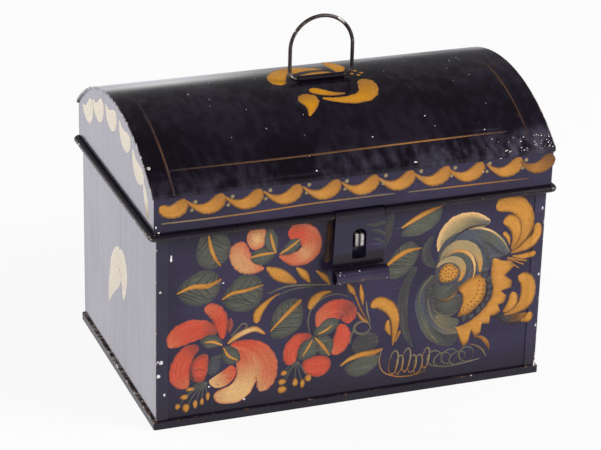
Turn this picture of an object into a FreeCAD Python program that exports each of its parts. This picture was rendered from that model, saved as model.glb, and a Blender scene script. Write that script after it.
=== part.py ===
import FreeCAD, Part
import math
import os

# Small dome-topped document trunk of tinned sheet, soldered and wired.
# Millimetres. X runs to the right, Y to the back, Z up. The origin is under the middle of the box.

# Box
box_width = 237.0           # over the end sheets
box_depth = 149.0           # over the laps of the end sheets
wall_top = 132.0            # top of the rolled edge
sheet = 0.5                 # every sheet except the hasp and the staple
lap_width = 7.0             # how far an end sheet laps over the front and the back
lap_corner = 0.45           # rounding of the laps' bent corners
wall_wire_radius = 1.0
wall_wire_bend = 3.5        # centreline radius at the box's four top corners

# Bottom pan
pan_rim_height = 4.6
pan_hem = 1.5               # folded thickness of the upturned rim
pan_corner = 1.2
pan_edge = 0.6              # rounding of the rim's folded top

# Lid
lid_gap = 1.2               # from the box to the inside of the lid's skirt
rim_bottom = 118.0          # underside of the lid's rolled rim
rim_wire_radius = 1.3
rim_wire_bend = 2.2         # centreline radius at the lid's four corners
skirt_height = 27.0         # from the rim's underside to the dome's front edge
dome_rise = 28.5            # from that edge to the crown
dome_overhang = 1.0         # how far the dome stands out over the skirt, on all sides
dome_lip = 2.0              # turned-down edge of the dome, front and back
dome_edge_rounding = 0.9
dome_hem = 0.8              # folded thickness added under the dome's two ends
skirt_step = 1.2            # height of the skirt's stepped top, which meets the dome's lip
skirt_seat = 0.4            # from the skirt's top up to the dome's front edge
end_flange = 4.0            # flange of an end plate under the dome

# Bail and its strap
bail_wire_radius = 1.1
bail_half_width = 19.2      # to the wire's centreline
bail_height = 37.4          # from the pivot to the top's centreline
bail_bend = 4.4
bail_end_gap = 1.0          # between the wire's two ends, inside the strap
strap_length = 28.0
strap_wall = 0.6
strap_foot = 3.3            # how far each foot reaches beyond the tube
strap_right = 3.0           # the strap's place, to the right of the lid's middle
strap_forward = 4.0         # and forward of the crown

# Hasp and staple
hasp_sheet = 0.8
hasp_top_width = 29.5
hasp_foot_width = 32.0
hasp_drop = 35.3            # from the pivot down to the middle of the curled foot
hasp_curl_radius = 4.0      # centreline
hasp_barrel_turn = 290.0    # degrees that the barrel goes round the rim wire
hasp_slot_width = 8.4
hasp_slot_top = 8.4         # below the pivot
hasp_slot_bottom = 26.9     # below the pivot
hasp_slot_corner = 1.2
hasp_notch_side = 0.8       # notch in the lid's rim, at each end of the barrel
hasp_notch_over = 0.8       # and above the barrel
staple_width = 5.5
staple_sheet = 0.9
staple_right = 0.5          # the staple's place, to the right of the slot's middle
staple_drop = 11.9          # from the hasp's pivot down to the staple's top
staple_height = 9.0
staple_bend = 1.6
staple_foot = 5.0           # clinched foot inside the box
staple_foot_bend = 0.6
staple_slot_fit = 0.2       # around each leg, in the front sheet
staple_clearance = 0.3      # from the staple's tip to the back of the hasp

# Hinge straps
hinge_strap_width = 14.0
hinge_strap_inset = 40.5    # from the box's end to each strap's middle
hinge_leaf_bottom = 100.0
hinge_leaf_bend = 2.0
hinge_leaf_drop = 3.5       # from the pin's middle down to the end of the leaf's joggle
hinge_notch_side = 0.8
hinge_notch_over = 1.5

# Clearances of the fits
wire_seat = 0.05            # a fixed wire in its roll
rim_wire_seat = 0.1         # the rim wires in the lid's roll
pin_clearance = 0.08        # a strap or the hasp turning on a rim wire
bail_clearance = 0.09       # the bail turning in its strap
dome_seat = 0.05            # an end plate under the dome
wire_end_gap = 0.5          # between the hinge pin's ends and the rim wire's
roll_turn = 300.0           # degrees that a rolled edge goes round its wire

# Allowances of the modelling
cut_margin = 1.0            # how far a cut runs past what it cuts
same_place = 0.01           # an edge this near a place is taken as lying there

# Places worked out from the sizes
half_width = box_width / 2
half_depth = box_depth / 2
front_face = half_depth - sheet
wall_roll = wall_wire_radius + wire_seat + sheet / 2
wall_roll_z = wall_top - wall_roll - sheet / 2
wall_wire_x = half_width - sheet / 2 - wall_roll
wall_wire_y = front_face - sheet / 2 - wall_roll
wall_bend_x = wall_wire_x - wall_wire_bend
wall_bend_y = wall_wire_y - wall_wire_bend

skirt_x = half_width + lid_gap
skirt_y = half_depth + lid_gap
rim_roll = rim_wire_radius + rim_wire_seat + sheet / 2
rim_outer = rim_roll + sheet / 2
rim_z = rim_bottom + rim_outer
rim_x = skirt_x + rim_outer
rim_y = skirt_y + rim_outer
rim_bend_x = rim_x - rim_wire_bend
rim_bend_y = rim_y - rim_wire_bend

dome_edge_z = rim_bottom + skirt_height
dome_half_depth = skirt_y + sheet + dome_overhang
dome_radius = (dome_half_depth ** 2 + dome_rise ** 2) / (2 * dome_rise)
dome_axis_z = dome_edge_z + dome_rise - dome_radius
dome_half_width = skirt_x + sheet + dome_overhang
skirt_top = dome_edge_z - skirt_seat

barrel_radius = rim_wire_radius + pin_clearance
barrel_bend = barrel_radius + hasp_sheet / 2
hasp_plane = rim_y + barrel_bend
hasp_notch_half = hasp_top_width / 2 + hasp_notch_side
hasp_notch_top = rim_z + barrel_radius + hasp_sheet + hasp_notch_over
staple_tip = hasp_plane - hasp_sheet / 2 - staple_clearance
staple_top = rim_z - staple_drop

strap_bore = bail_wire_radius + bail_clearance
strap_outer = strap_bore + strap_wall
pivot_radius = dome_radius + strap_outer
strap_tilt = math.asin(strap_forward / pivot_radius)
bail_pivot_z = dome_axis_z + pivot_radius * math.cos(strap_tilt)

loop_radius = barrel_radius + sheet / 2
hinge_strap_place = half_width - hinge_strap_inset
hinge_notch_half = hinge_strap_width / 2 + hinge_notch_side
hinge_notch_top = rim_z + loop_radius + sheet / 2 + hinge_notch_over

CORNERS = ((-1, -1), (-1, 1), (1, -1), (1, 1))


def block(x0, x1, y0, y1, z0, z1):
    """A box between two opposite corners."""
    return Part.makeBox(x1 - x0, y1 - y0, z1 - z0, FreeCAD.Vector(x0, y0, z0))


def rod_x(x0, x1, y, z, radius):
    """A round bar along X."""
    return Part.makeCylinder(radius, x1 - x0, FreeCAD.Vector(x0, y, z), FreeCAD.Vector(1, 0, 0))


def rod_y(y0, y1, x, z, radius):
    """A round bar along Y."""
    return Part.makeCylinder(radius, y1 - y0, FreeCAD.Vector(x, y0, z), FreeCAD.Vector(0, 1, 0))


def bent_bar(centre, bend_radius, radius, start, axis, degrees):
    """A round bar bent about an axis through centre, from the direction start round by degrees."""
    out = FreeCAD.Vector(*start)
    out.normalize()
    about = FreeCAD.Vector(*axis)
    middle = FreeCAD.Vector(*centre)
    section = Part.makeCircle(radius, middle + out * bend_radius, about.cross(out))
    return Part.Face(Part.Wire(section)).revolve(middle, about, degrees)


def elbow(side_x, side_y, x, y, z, bend_radius, radius):
    """A quarter turn of level round bar at one corner. The sides are -1 or 1."""
    degrees = 90 * side_x * side_y
    return bent_bar((side_x * x, side_y * y, z), bend_radius, radius, (side_x, 0, 0), (0, 0, 1), degrees)


def join(pieces):
    """One solid from pieces that meet."""
    joined = pieces[0].fuse(pieces[1:])
    return joined.removeSplitter()


def run(start, end):
    """A straight run of a bent strip's centreline, between two (y, z) places."""
    return {"start": start, "end": end}


def bend(centre, radius, start, end):
    """A bend of a strip's centreline about a (y, z) place. The angles go from +Y towards +Z."""
    return {"centre": centre, "radius": radius, "from": start, "to": end}


def strip_side(step, shift):
    """One step's edge, moved to the left of the direction of travel by shift."""
    if "centre" in step:
        turning = math.copysign(1.0, step["to"] - step["from"])
        radius = step["radius"] - turning * shift
        middle = (step["from"] + step["to"]) / 2
        places = []
        for angle in (step["from"], middle, step["to"]):
            y = step["centre"][0] + radius * math.cos(math.radians(angle))
            z = step["centre"][1] + radius * math.sin(math.radians(angle))
            places.append(FreeCAD.Vector(0, y, z))
        return Part.Arc(*places).toShape()
    (y0, z0), (y1, z1) = step["start"], step["end"]
    length = math.hypot(y1 - y0, z1 - z0)
    aside = FreeCAD.Vector(0, -(z1 - z0) / length, (y1 - y0) / length) * shift
    return Part.LineSegment(FreeCAD.Vector(0, y0, z0) + aside, FreeCAD.Vector(0, y1, z1) + aside).toShape()


def bent_strip(path, thickness, x0, x1):
    """A strip of even thickness along a path of runs and bends, between two places along X."""
    left = [strip_side(step, thickness / 2) for step in path]
    right = [strip_side(step, -thickness / 2) for step in path]
    first_cap = Part.LineSegment(left[0].firstVertex(True).Point, right[0].firstVertex(True).Point)
    last_cap = Part.LineSegment(left[-1].lastVertex(True).Point, right[-1].lastVertex(True).Point)
    edges = left + right + [first_cap.toShape(), last_cap.toShape()]
    outline = Part.Wire(Part.__sortEdges__(edges))
    solid = Part.Face(outline).extrude(FreeCAD.Vector(x1 - x0, 0, 0))
    solid.translate(FreeCAD.Vector(x0, 0, 0))
    return solid


def turned(shape, degrees):
    """A copy turned about the upright axis through the origin."""
    copy = shape.copy()
    copy.rotate(FreeCAD.Vector(0, 0, 0), FreeCAD.Vector(0, 0, 1), degrees)
    return copy


def dome_band(outer, inner, half_depth_cut, x0, x1):
    """The part of a round shell about the dome's axis that lies over a band of the box."""
    shell = rod_x(x0, x1, 0, dome_axis_z, outer).cut(rod_x(x0, x1, 0, dome_axis_z, inner))
    top = dome_axis_z + outer + cut_margin
    return shell.common(block(x0, x1, -half_depth_cut, half_depth_cut, rim_z, top))


def wall_roll_strip(face, half_length):
    """The rolled top edge of a wall whose middle stands at y = -face, rolled inwards."""
    centre = (-face + wall_roll, wall_roll_z)
    return bent_strip([bend(centre, wall_roll, 180, 180 - roll_turn)], sheet, -half_length, half_length)


def body_front_sheet():
    """The front wall, with its rolled top and two slots for the staple's legs."""
    half = half_width - sheet
    wall = block(-half, half, -front_face, -front_face + sheet, sheet, wall_roll_z)
    wall = join([wall, wall_roll_strip(front_face - sheet / 2, wall_bend_x)])
    slot_half = staple_width / 2 + staple_slot_fit
    for leg_top in (staple_top, staple_top - staple_height + staple_sheet):
        wall = wall.cut(block(staple_right - slot_half, staple_right + slot_half,
                              -front_face - sheet, -front_face + 2 * sheet,
                              leg_top - staple_sheet - staple_slot_fit, leg_top + staple_slot_fit))
    return wall


def body_back_sheet():
    """The back wall, with its rolled top."""
    half = half_width - sheet
    wall = block(-half, half, -front_face, -front_face + sheet, sheet, wall_roll_z)
    return turned(join([wall, wall_roll_strip(front_face - sheet / 2, wall_bend_x)]), 180)


def body_end_sheet(side):
    """An end wall with its rolled top and the laps round both corners. side is -1 left, 1 right."""
    plate = block(-half_depth, half_depth, -half_width, -half_width + sheet, sheet, wall_roll_z)
    pieces = [plate, wall_roll_strip(half_width - sheet / 2, wall_bend_y)]
    for corner in (-half_depth, half_depth - sheet):
        pieces.append(block(corner, corner + sheet, -half_width, -half_width + lap_width,
                            sheet, wall_roll_z))
    wall = join(pieces)
    corners = []
    for edge in wall.Edges:
        middle = edge.CenterOfMass
        across = abs(abs(middle.x) - half_depth)
        at_corner = across < same_place and abs(middle.y + half_width) < same_place
        if at_corner and edge.Length > wall_roll_z / 2:
            corners.append(edge)
    return turned(wall.makeFillet(lap_corner, corners), 90 * side)


def bottom_pan():
    """The floor with its upturned, hemmed rim round the foot of the walls."""
    x = half_width + pan_hem
    y = half_depth + pan_hem
    pan = block(-x, x, -y, y, 0, pan_rim_height)
    upright = [edge for edge in pan.Edges if abs(edge.Length - pan_rim_height) < same_place]
    pan = pan.makeFillet(pan_corner, upright)
    top = []
    for edge in pan.Edges:
        box = edge.BoundBox
        if box.ZMin > pan_rim_height - same_place:
            top.append(edge)
    pan = pan.makeFillet(pan_edge, top)
    inside_top = pan_rim_height + cut_margin
    return pan.cut(block(-half_width, half_width, -half_depth, half_depth, sheet, inside_top))


def body_rim_wire():
    """The closed loop of wire in the box's rolled top edge."""
    x, y, z = wall_wire_x, wall_wire_y, wall_roll_z
    radius = wall_wire_radius
    pieces = []
    for side in (-1, 1):
        pieces.append(rod_x(-wall_bend_x, wall_bend_x, side * y, z, radius))
        pieces.append(rod_y(-wall_bend_y, wall_bend_y, side * x, z, radius))
    for side_x, side_y in CORNERS:
        pieces.append(elbow(side_x, side_y, wall_bend_x, wall_bend_y, z, wall_wire_bend, radius))
    return join(pieces)


def latch_staple():
    """A flat strip bent to an eye, its legs through the front sheet and clinched inside."""
    foot_y = -front_face + sheet + staple_sheet / 2
    leg_y = foot_y - staple_foot_bend
    tip_y = -staple_tip + staple_sheet / 2
    top = staple_top - staple_sheet / 2
    bottom = staple_top - staple_height + staple_sheet / 2
    path = [
        run((foot_y, top + staple_foot), (foot_y, top + staple_foot_bend)),
        bend((leg_y, top + staple_foot_bend), staple_foot_bend, 0, -90),
        run((leg_y, top), (tip_y + staple_bend, top)),
        bend((tip_y + staple_bend, top - staple_bend), staple_bend, 90, 180),
        run((tip_y, top - staple_bend), (tip_y, bottom + staple_bend)),
        bend((tip_y + staple_bend, bottom + staple_bend), staple_bend, 180, 270),
        run((tip_y + staple_bend, bottom), (leg_y, bottom)),
        bend((leg_y, bottom - staple_foot_bend), staple_foot_bend, 90, 0),
        run((foot_y, bottom - staple_foot_bend), (foot_y, bottom - staple_foot)),
    ]
    return bent_strip(path, staple_sheet, staple_right - staple_width / 2, staple_right + staple_width / 2)


def hinge_strap(side):
    """A leaf on the back wall that joggles out and loops over the hinge pin. side is -1 or 1."""
    leaf_y = front_face + sheet / 2
    neck_y = rim_y - loop_radius
    turn = math.acos(1 - (neck_y - leaf_y) / (2 * hinge_leaf_bend))
    joggle_top = rim_z - hinge_leaf_drop
    joggle_bottom = joggle_top - 2 * hinge_leaf_bend * math.sin(turn)
    turn_degrees = math.degrees(turn)
    path = [
        run((leaf_y, hinge_leaf_bottom), (leaf_y, joggle_bottom)),
        bend((leaf_y + hinge_leaf_bend, joggle_bottom), hinge_leaf_bend, 180, 180 - turn_degrees),
        bend((neck_y - hinge_leaf_bend, joggle_top), hinge_leaf_bend, -turn_degrees, 0),
        run((neck_y, joggle_top), (neck_y, rim_z)),
        bend((rim_y, rim_z), loop_radius, 180, 180 - roll_turn),
    ]
    middle = side * hinge_strap_place
    return bent_strip(path, sheet, middle - hinge_strap_width / 2, middle + hinge_strap_width / 2)


def lid_dome():
    """The bent top, with turned-down lips front and back and a hem under each end."""
    x = dome_half_width
    inner = dome_radius - sheet
    pieces = [dome_band(dome_radius, inner, dome_half_depth, -x, x)]
    for y in (-dome_half_depth, dome_half_depth - sheet):
        pieces.append(block(-x, x, y, y + sheet, dome_edge_z - dome_lip, dome_edge_z))
    dome = join(pieces)
    ridges = []
    for edge in dome.Edges:
        middle = edge.CenterOfMass
        across = abs(abs(middle.y) - dome_half_depth)
        on_ridge = across < same_place and abs(middle.z - dome_edge_z) < same_place
        if on_ridge and edge.Length > x:
            ridges.append(edge)
    dome = dome.makeFillet(dome_edge_rounding, ridges)
    hem_depth = skirt_y + sheet
    hems = []
    for x0, x1 in ((-x, -x + dome_overhang), (x - dome_overhang, x)):
        hems.append(dome_band(inner, inner - dome_hem, hem_depth, x0, x1))
    return join([dome] + hems)


def rim_roll_path(face, centre):
    """The path round a rim wire, from the foot of a skirt whose middle stands at y = face."""
    return [bend((centre, rim_z), abs(centre - face), 0, -roll_turn)]


def skirt_plate(half_length):
    """A skirt along X at the front, from the rolled rim to its stepped top."""
    face = -skirt_y - sheet
    return [
        block(-half_length, half_length, face, face + sheet, rim_z + rim_outer, skirt_top),
        block(-rim_bend_x, rim_bend_x, face, face + sheet, rim_z, rim_z + rim_outer),
        block(-half_length, half_length, face - sheet, face, skirt_top - skirt_step, skirt_top),
        bent_strip(rim_roll_path(face + sheet / 2, -rim_y), sheet, -rim_bend_x, rim_bend_x),
    ]


def lid_front_apron():
    """The lid's front skirt, its rolled rim cut away for the hasp's barrel."""
    apron = join(skirt_plate(skirt_x + sheet))
    return apron.cut(block(-hasp_notch_half, hasp_notch_half,
                           -rim_y - rim_outer - cut_margin, -skirt_y + cut_margin,
                           rim_bottom - cut_margin, hasp_notch_top))


def lid_back_apron():
    """The lid's back skirt, its rolled rim cut away for the two hinge straps."""
    apron = join(skirt_plate(skirt_x + sheet))
    for side in (-1, 1):
        middle = side * hinge_strap_place
        apron = apron.cut(block(middle - hinge_notch_half, middle + hinge_notch_half,
                                -rim_y - rim_outer - cut_margin, -skirt_y + cut_margin,
                                rim_bottom - cut_margin, hinge_notch_top))
    return turned(apron, 180)


def lid_end_plate(side):
    """An arched end with a flange under the dome and a rolled rim that turns both corners."""
    outer = dome_radius - sheet - dome_seat
    face = skirt_x
    plate = rod_x(face, face + sheet, 0, dome_axis_z, outer)
    plate = plate.common(block(face, face + sheet, -skirt_y, skirt_y, rim_z, dome_axis_z + dome_radius))
    roll_top = rim_z + rim_outer
    for y0, y1 in ((-skirt_y, -rim_bend_y), (rim_bend_y, skirt_y)):
        plate = plate.cut(block(face, face + sheet, y0, y1, rim_z, roll_top))
    flange = dome_band(outer, outer - sheet, skirt_y - sheet, face - end_flange, face)
    roll = bent_strip(rim_roll_path(-face - sheet / 2, -rim_x), sheet, -rim_bend_y, rim_bend_y)
    pieces = [plate, flange, turned(roll, 90)]
    for side_y in (-1, 1):
        bar = elbow(1, side_y, rim_bend_x, rim_bend_y, rim_z, rim_wire_bend, rim_outer)
        bore = elbow(1, side_y, rim_bend_x, rim_bend_y, rim_z, rim_wire_bend, rim_outer - sheet)
        pieces.append(bar.cut(bore))
    end = join(pieces)
    return turned(end, 90 - 90 * side)


def lid_rim_wire():
    """The wire in the rim's front and ends, from one back corner round to the other."""
    radius = rim_wire_radius
    pieces = [rod_x(-rim_bend_x, rim_bend_x, -rim_y, rim_z, radius)]
    for side in (-1, 1):
        pieces.append(rod_y(-rim_bend_y, rim_bend_y, side * rim_x, rim_z, radius))
    for side_x, side_y in CORNERS:
        pieces.append(elbow(side_x, side_y, rim_bend_x, rim_bend_y, rim_z, rim_wire_bend, radius))
    return join(pieces)


def hinge_pin_wire():
    """The straight wire in the rim's back, on which the lid turns."""
    end = rim_bend_x - wire_end_gap
    return rod_x(-end, end, rim_y, rim_z, rim_wire_radius)


def bail_strap():
    """A short tube with two feet, soldered along the crown."""
    half = strap_length / 2
    crown = dome_axis_z + dome_radius
    axis_z = crown + strap_outer
    tube = rod_x(-half, half, 0, axis_z, strap_outer)
    reach = strap_outer + strap_foot
    strap = join([tube, block(-half, half, -reach, reach, crown, crown + sheet)])
    strap = strap.cut(rod_x(-half - cut_margin, half + cut_margin, 0, axis_z, strap_bore))
    strap.rotate(FreeCAD.Vector(0, 0, dome_axis_z), FreeCAD.Vector(1, 0, 0), math.degrees(strap_tilt))
    strap.translate(FreeCAD.Vector(strap_right, 0, 0))
    return strap


def bail_handle():
    """The wire bail: two legs under a round bow, with both ends turned into the strap."""
    radius = bail_wire_radius
    half = bail_half_width
    bow_z = bail_height - half
    corner_x = half - bail_bend
    toward = (0, -1, 0)
    pieces = [bent_bar((0, 0, bow_z), half, radius, (1, 0, 0), toward, 180)]
    for side in (-1, 1):
        foot = FreeCAD.Vector(side * half, 0, bail_bend)
        pieces.append(Part.makeCylinder(radius, bow_z - bail_bend, foot))
        pieces.append(bent_bar((side * corner_x, 0, bail_bend), bail_bend, radius, (side, 0, 0),
                               toward, -90 * side))
        ends = sorted((side * bail_end_gap / 2, side * corner_x))
        pieces.append(rod_x(ends[0], ends[1], 0, 0, radius))
    bail = join(pieces)
    bail.translate(FreeCAD.Vector(strap_right, -pivot_radius * math.sin(strap_tilt), bail_pivot_z))
    return bail


def hasp_plate():
    """The slotted plate, with its barrel round the rim wire and its foot curled outwards."""
    plane = -hasp_plane
    foot = (plane - hasp_curl_radius, rim_z - hasp_drop)
    path = [
        bend(foot, hasp_curl_radius, -roll_turn, 0),
        run((plane, foot[1]), (plane, rim_z)),
        bend((-rim_y, rim_z), barrel_bend, 180, 180 - hasp_barrel_turn),
    ]
    half = hasp_foot_width / 2
    hasp = bent_strip(path, hasp_sheet, -half, half)
    reach = 3 * hasp_curl_radius
    low = foot[1] - reach
    high = rim_z + reach
    taper = [(-half, low), (-half, foot[1]), (-hasp_top_width / 2, rim_z - barrel_bend),
             (-hasp_top_width / 2, high), (hasp_top_width / 2, high),
             (hasp_top_width / 2, rim_z - barrel_bend), (half, foot[1]), (half, low), (-half, low)]
    front = -hasp_plane - reach
    outline = Part.makePolygon([FreeCAD.Vector(x, front, z) for x, z in taper])
    hasp = hasp.common(Part.Face(outline).extrude(FreeCAD.Vector(0, 3 * reach, 0)))
    radius = hasp_slot_width / 2
    slot_low = rim_z - hasp_slot_bottom
    slot_high = rim_z - hasp_slot_top - radius
    y0 = plane - hasp_sheet
    y1 = plane + hasp_sheet
    slot = block(-radius, radius, y0, y1, slot_low, slot_high)
    depth = y1 - y0
    lower = [edge for edge in slot.Edges
             if abs(edge.CenterOfMass.z - slot_low) < same_place and abs(edge.Length - depth) < same_place]
    slot = slot.makeFillet(hasp_slot_corner, lower)
    crown = rod_y(y0, y1, 0, slot_high, radius)
    return hasp.cut(slot.fuse(crown))


def build():
    """Every sub-part by its name."""
    return {
        "body_front_sheet": body_front_sheet(),
        "body_back_sheet": body_back_sheet(),
        "body_left_end": body_end_sheet(-1),
        "body_right_end": body_end_sheet(1),
        "bottom_pan": bottom_pan(),
        "body_rim_wire": body_rim_wire(),
        "latch_staple": latch_staple(),
        "hinge_strap_left": hinge_strap(-1),
        "hinge_strap_right": hinge_strap(1),
        "lid_dome": lid_dome(),
        "lid_front_apron": lid_front_apron(),
        "lid_back_apron": lid_back_apron(),
        "lid_left_end": lid_end_plate(-1),
        "lid_right_end": lid_end_plate(1),
        "lid_rim_wire": lid_rim_wire(),
        "hinge_pin_wire": hinge_pin_wire(),
        "bail_strap": bail_strap(),
        "bail_handle": bail_handle(),
        "hasp_plate": hasp_plate(),
    }


os.makedirs("parts", exist_ok=True)
for name, shape in build().items():
    shape.exportStep("parts/" + name + ".step")
    box = shape.BoundBox
    print(name, shape.isValid(), len(shape.Solids), round(shape.Volume, 1),
          [round(value, 2) for value in (box.XMin, box.XMax, box.YMin, box.YMax, box.ZMin, box.ZMax)])
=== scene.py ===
"""Dome-topped tin trunk: its varnish and metal, its freehand painting and a plain studio.

Metres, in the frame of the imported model: X to the right, Y to the back, Z up. The painting is laid on the
sheets as thin films. Tables of brush marks are in millimetres on their own panel, seen from outside.
"""
import math

import bpy
import numpy as np
from bpy.props import FloatProperty, FloatVectorProperty, PointerProperty
from mathutils import Matrix, Vector


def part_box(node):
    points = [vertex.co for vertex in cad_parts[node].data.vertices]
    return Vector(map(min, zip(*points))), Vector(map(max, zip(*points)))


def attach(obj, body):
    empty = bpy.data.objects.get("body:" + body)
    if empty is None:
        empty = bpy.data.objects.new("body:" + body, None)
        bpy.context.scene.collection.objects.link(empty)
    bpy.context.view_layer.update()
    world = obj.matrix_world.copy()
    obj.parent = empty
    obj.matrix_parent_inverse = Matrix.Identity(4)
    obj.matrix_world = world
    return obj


bl_info = {
    "name": "Dome-Topped Tin Trunk",
    "version": (1, 0, 0),
    "blender": (4, 5, 0),
    "location": "View3D > Sidebar > Tin Trunk",
    "description": "Finishes, brush painting and studio for a small japanned tin trunk",
    "category": "Object",
}

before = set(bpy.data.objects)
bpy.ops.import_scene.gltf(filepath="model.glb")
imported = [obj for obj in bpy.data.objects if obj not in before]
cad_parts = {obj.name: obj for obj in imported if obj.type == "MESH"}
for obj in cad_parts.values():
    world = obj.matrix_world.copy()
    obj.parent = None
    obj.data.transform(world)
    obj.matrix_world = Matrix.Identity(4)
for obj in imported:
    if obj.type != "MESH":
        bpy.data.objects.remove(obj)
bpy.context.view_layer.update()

MM = 0.001


def low(node, axis):
    """Lowest coordinate of a node along an axis, in metres."""
    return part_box(node)[0][axis]


def high(node, axis):
    """Highest coordinate of a node along an axis, in metres."""
    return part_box(node)[1][axis]


# Where the painted sheets lie
FRONT_Y = low("body_front_sheet", 1)
LAP_Y = low("body_left_end", 1)
LAP_INNER_X = 111.5 * MM
BOX_END_X = low("body_left_end", 0)
LID_END_X = -120.2 * MM
APRON_Y = -76.2 * MM
CROWN_Z = high("lid_dome", 2)
DOME_RADIUS = 118.81 * MM
RIM_Z = 119.9 * MM
PLATE_Y = -79.8 * MM
CURL_Y, CURL_Z, CURL_RADIUS = -83.4 * MM, 84.6 * MM, 4.4 * MM


def linear(red, green, blue):
    """Scene-linear colour of an sRGB colour given from 0 to 255, by the usual power 2.4 curve."""
    tone = np.array((red, green, blue)) / 255.0
    return tuple(float(c) for c in np.where(tone <= 0.04045, tone / 12.92, ((tone + 0.055) / 1.055) ** 2.4))


def colour(name, description, *tone):
    """A colour property with its default given in sRGB from 0 to 255."""
    return FloatVectorProperty(name=name, description=description, subtype="COLOR", size=3, min=0.0, max=1.0,
                               default=linear(*tone))


# ---------------------------------------------------------------- settings

class TRUNK_PG_paints(bpy.types.PropertyGroup):
    """Colours of the brush painting."""
    gold: colour("Gold", "Ochre gold of the leaves and scrolls", 206, 142, 60)
    yellow: colour("Yellow gold", "Brighter gold on the lid", 214, 146, 18)
    brown: colour("Brown gold", "Midribs and shaded gold", 168, 112, 50)
    umber: colour("Umber", "Thin brown outlines", 100, 66, 36)
    red: colour("Red", "Petals", 206, 80, 58)
    dusky: colour("Dusky red", "Shaded sides of petals", 140, 66, 60)
    salmon: colour("Salmon", "Lit petals", 206, 106, 74)
    peach: colour("Peach", "Pale petals", 214, 154, 104)
    cream: colour("Cream", "Highlights of petals", 232, 186, 126)
    tan: colour("Tan", "Pale grey gold of the large flower", 170, 148, 106)
    leaf: colour("Leaf", "Grey green of the leaves", 84, 89, 80)
    moss: colour("Moss", "Darker green of the leaves", 60, 62, 66)
    slate: colour("Slate", "Grey blue petals", 78, 84, 96)
    olive: colour("Olive", "Grey gold petals", 122, 112, 86)
    night: colour("Night", "The darkest marks", 36, 30, 42)
    ivory: colour("Ivory", "Pale marks on the ends", 238, 227, 209)


class TRUNK_PG_brush(bpy.types.PropertyGroup):
    """How thick the paint lies."""
    film: FloatProperty(name="Film", description="Thickness of one layer of paint", default=0.045 * MM,
                        min=0.01 * MM, max=0.3 * MM, unit="LENGTH")
    crown: FloatProperty(name="Crown", description="How far a stroke stands up in its middle", default=0.07 * MM,
                         min=0.0, max=0.5 * MM, unit="LENGTH")
    dip: FloatProperty(name="Dip", description="How far a stroke's edge goes into the varnish", default=0.02 * MM,
                       min=0.0, max=0.1 * MM, unit="LENGTH")


class TRUNK_PG_finish(bpy.types.PropertyGroup):
    """Varnish and metal."""
    box: colour("Box varnish", "Blue black of the box", 50, 43, 70)
    lid: colour("Lid varnish", "Purple black of the lid", 23, 15, 26)
    pan: colour("Pan varnish", "Black of the bottom pan", 38, 33, 44)
    tin: colour("Bare tin", "Tinned sheet where it is rubbed bare", 216, 212, 206)
    iron: colour("Iron", "Dark bare wire", 86, 78, 76)
    rust: colour("Rust", "Thin rust in the worn places", 96, 62, 40)
    gloss: FloatProperty(name="Gloss roughness", description="Roughness of sound varnish", default=0.2,
                         min=0.02, max=1.0)
    end_coat: FloatProperty(name="End coat", description="Weight of the clear coat on the two ends", default=1.0,
                            min=0.0, max=1.0)


class TRUNK_PG_studio(bpy.types.PropertyGroup):
    """Camera and lights."""
    place: FloatVectorProperty(name="Camera place", description="Where the camera stands", size=3,
                               subtype="TRANSLATION", unit="LENGTH", default=(-0.4757, -1.2333, 0.6654))
    azimuth: FloatProperty(name="Azimuth", description="Turn of the camera round the trunk",
                           default=math.radians(-20.87), subtype="ANGLE", unit="ROTATION")
    elevation: FloatProperty(name="Elevation", description="Height angle of the camera",
                             default=math.radians(23.90), subtype="ANGLE", unit="ROTATION")
    roll: FloatProperty(name="Roll", description="Tilt of the camera about its own line of sight",
                        default=math.radians(1.53), subtype="ANGLE", unit="ROTATION")
    lens: FloatProperty(name="Lens", description="Focal length in millimetres on a 36 mm wide sensor",
                        default=145.07, min=1.0)
    window: FloatProperty(name="Side light", description="Power of the soft light at the left in watts", default=15.0,
                          min=0.0)
    key: FloatProperty(name="Key light", description="Power of the large soft light in watts", default=32.0, min=0.0)
    room: FloatProperty(name="Room light", description="Brightness of the walls near the floor", default=1.3, min=0.0)
    ceiling: FloatProperty(name="Ceiling", description="Brightness of the dim room overhead", default=0.2, min=0.0)
    floor_glow: FloatProperty(name="Floor glow", description="How much of the floor's white needs no light",
                              default=0.9, min=0.0, max=1.0)


class TRUNK_PG_settings(bpy.types.PropertyGroup):
    """All settings of the trunk."""
    paints: PointerProperty(type=TRUNK_PG_paints)
    brush: PointerProperty(type=TRUNK_PG_brush)
    finish: PointerProperty(type=TRUNK_PG_finish)
    studio: PointerProperty(type=TRUNK_PG_studio)


def settings():
    """The trunk's settings in the current scene."""
    return bpy.context.scene.tin_trunk


# ---------------------------------------------------------------- shaders

class Value:
    """An output of a shader node. Arithmetic on it adds Math nodes."""

    def __init__(self, graph, socket):
        self.graph = graph
        self.socket = socket

    def math(self, operation, first, second=0.0):
        return self.graph.node("Math", {"operation": operation}, {0: first, 1: second})

    def __add__(self, other):
        return self.math("ADD", self, other)

    __radd__ = __add__

    def __sub__(self, other):
        return self.math("SUBTRACT", self, other)

    def __rsub__(self, other):
        return self.math("SUBTRACT", other, self)

    def __mul__(self, other):
        return self.math("MULTIPLY", self, other)

    __rmul__ = __mul__

    def __abs__(self):
        return self.math("ABSOLUTE", self)


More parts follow.
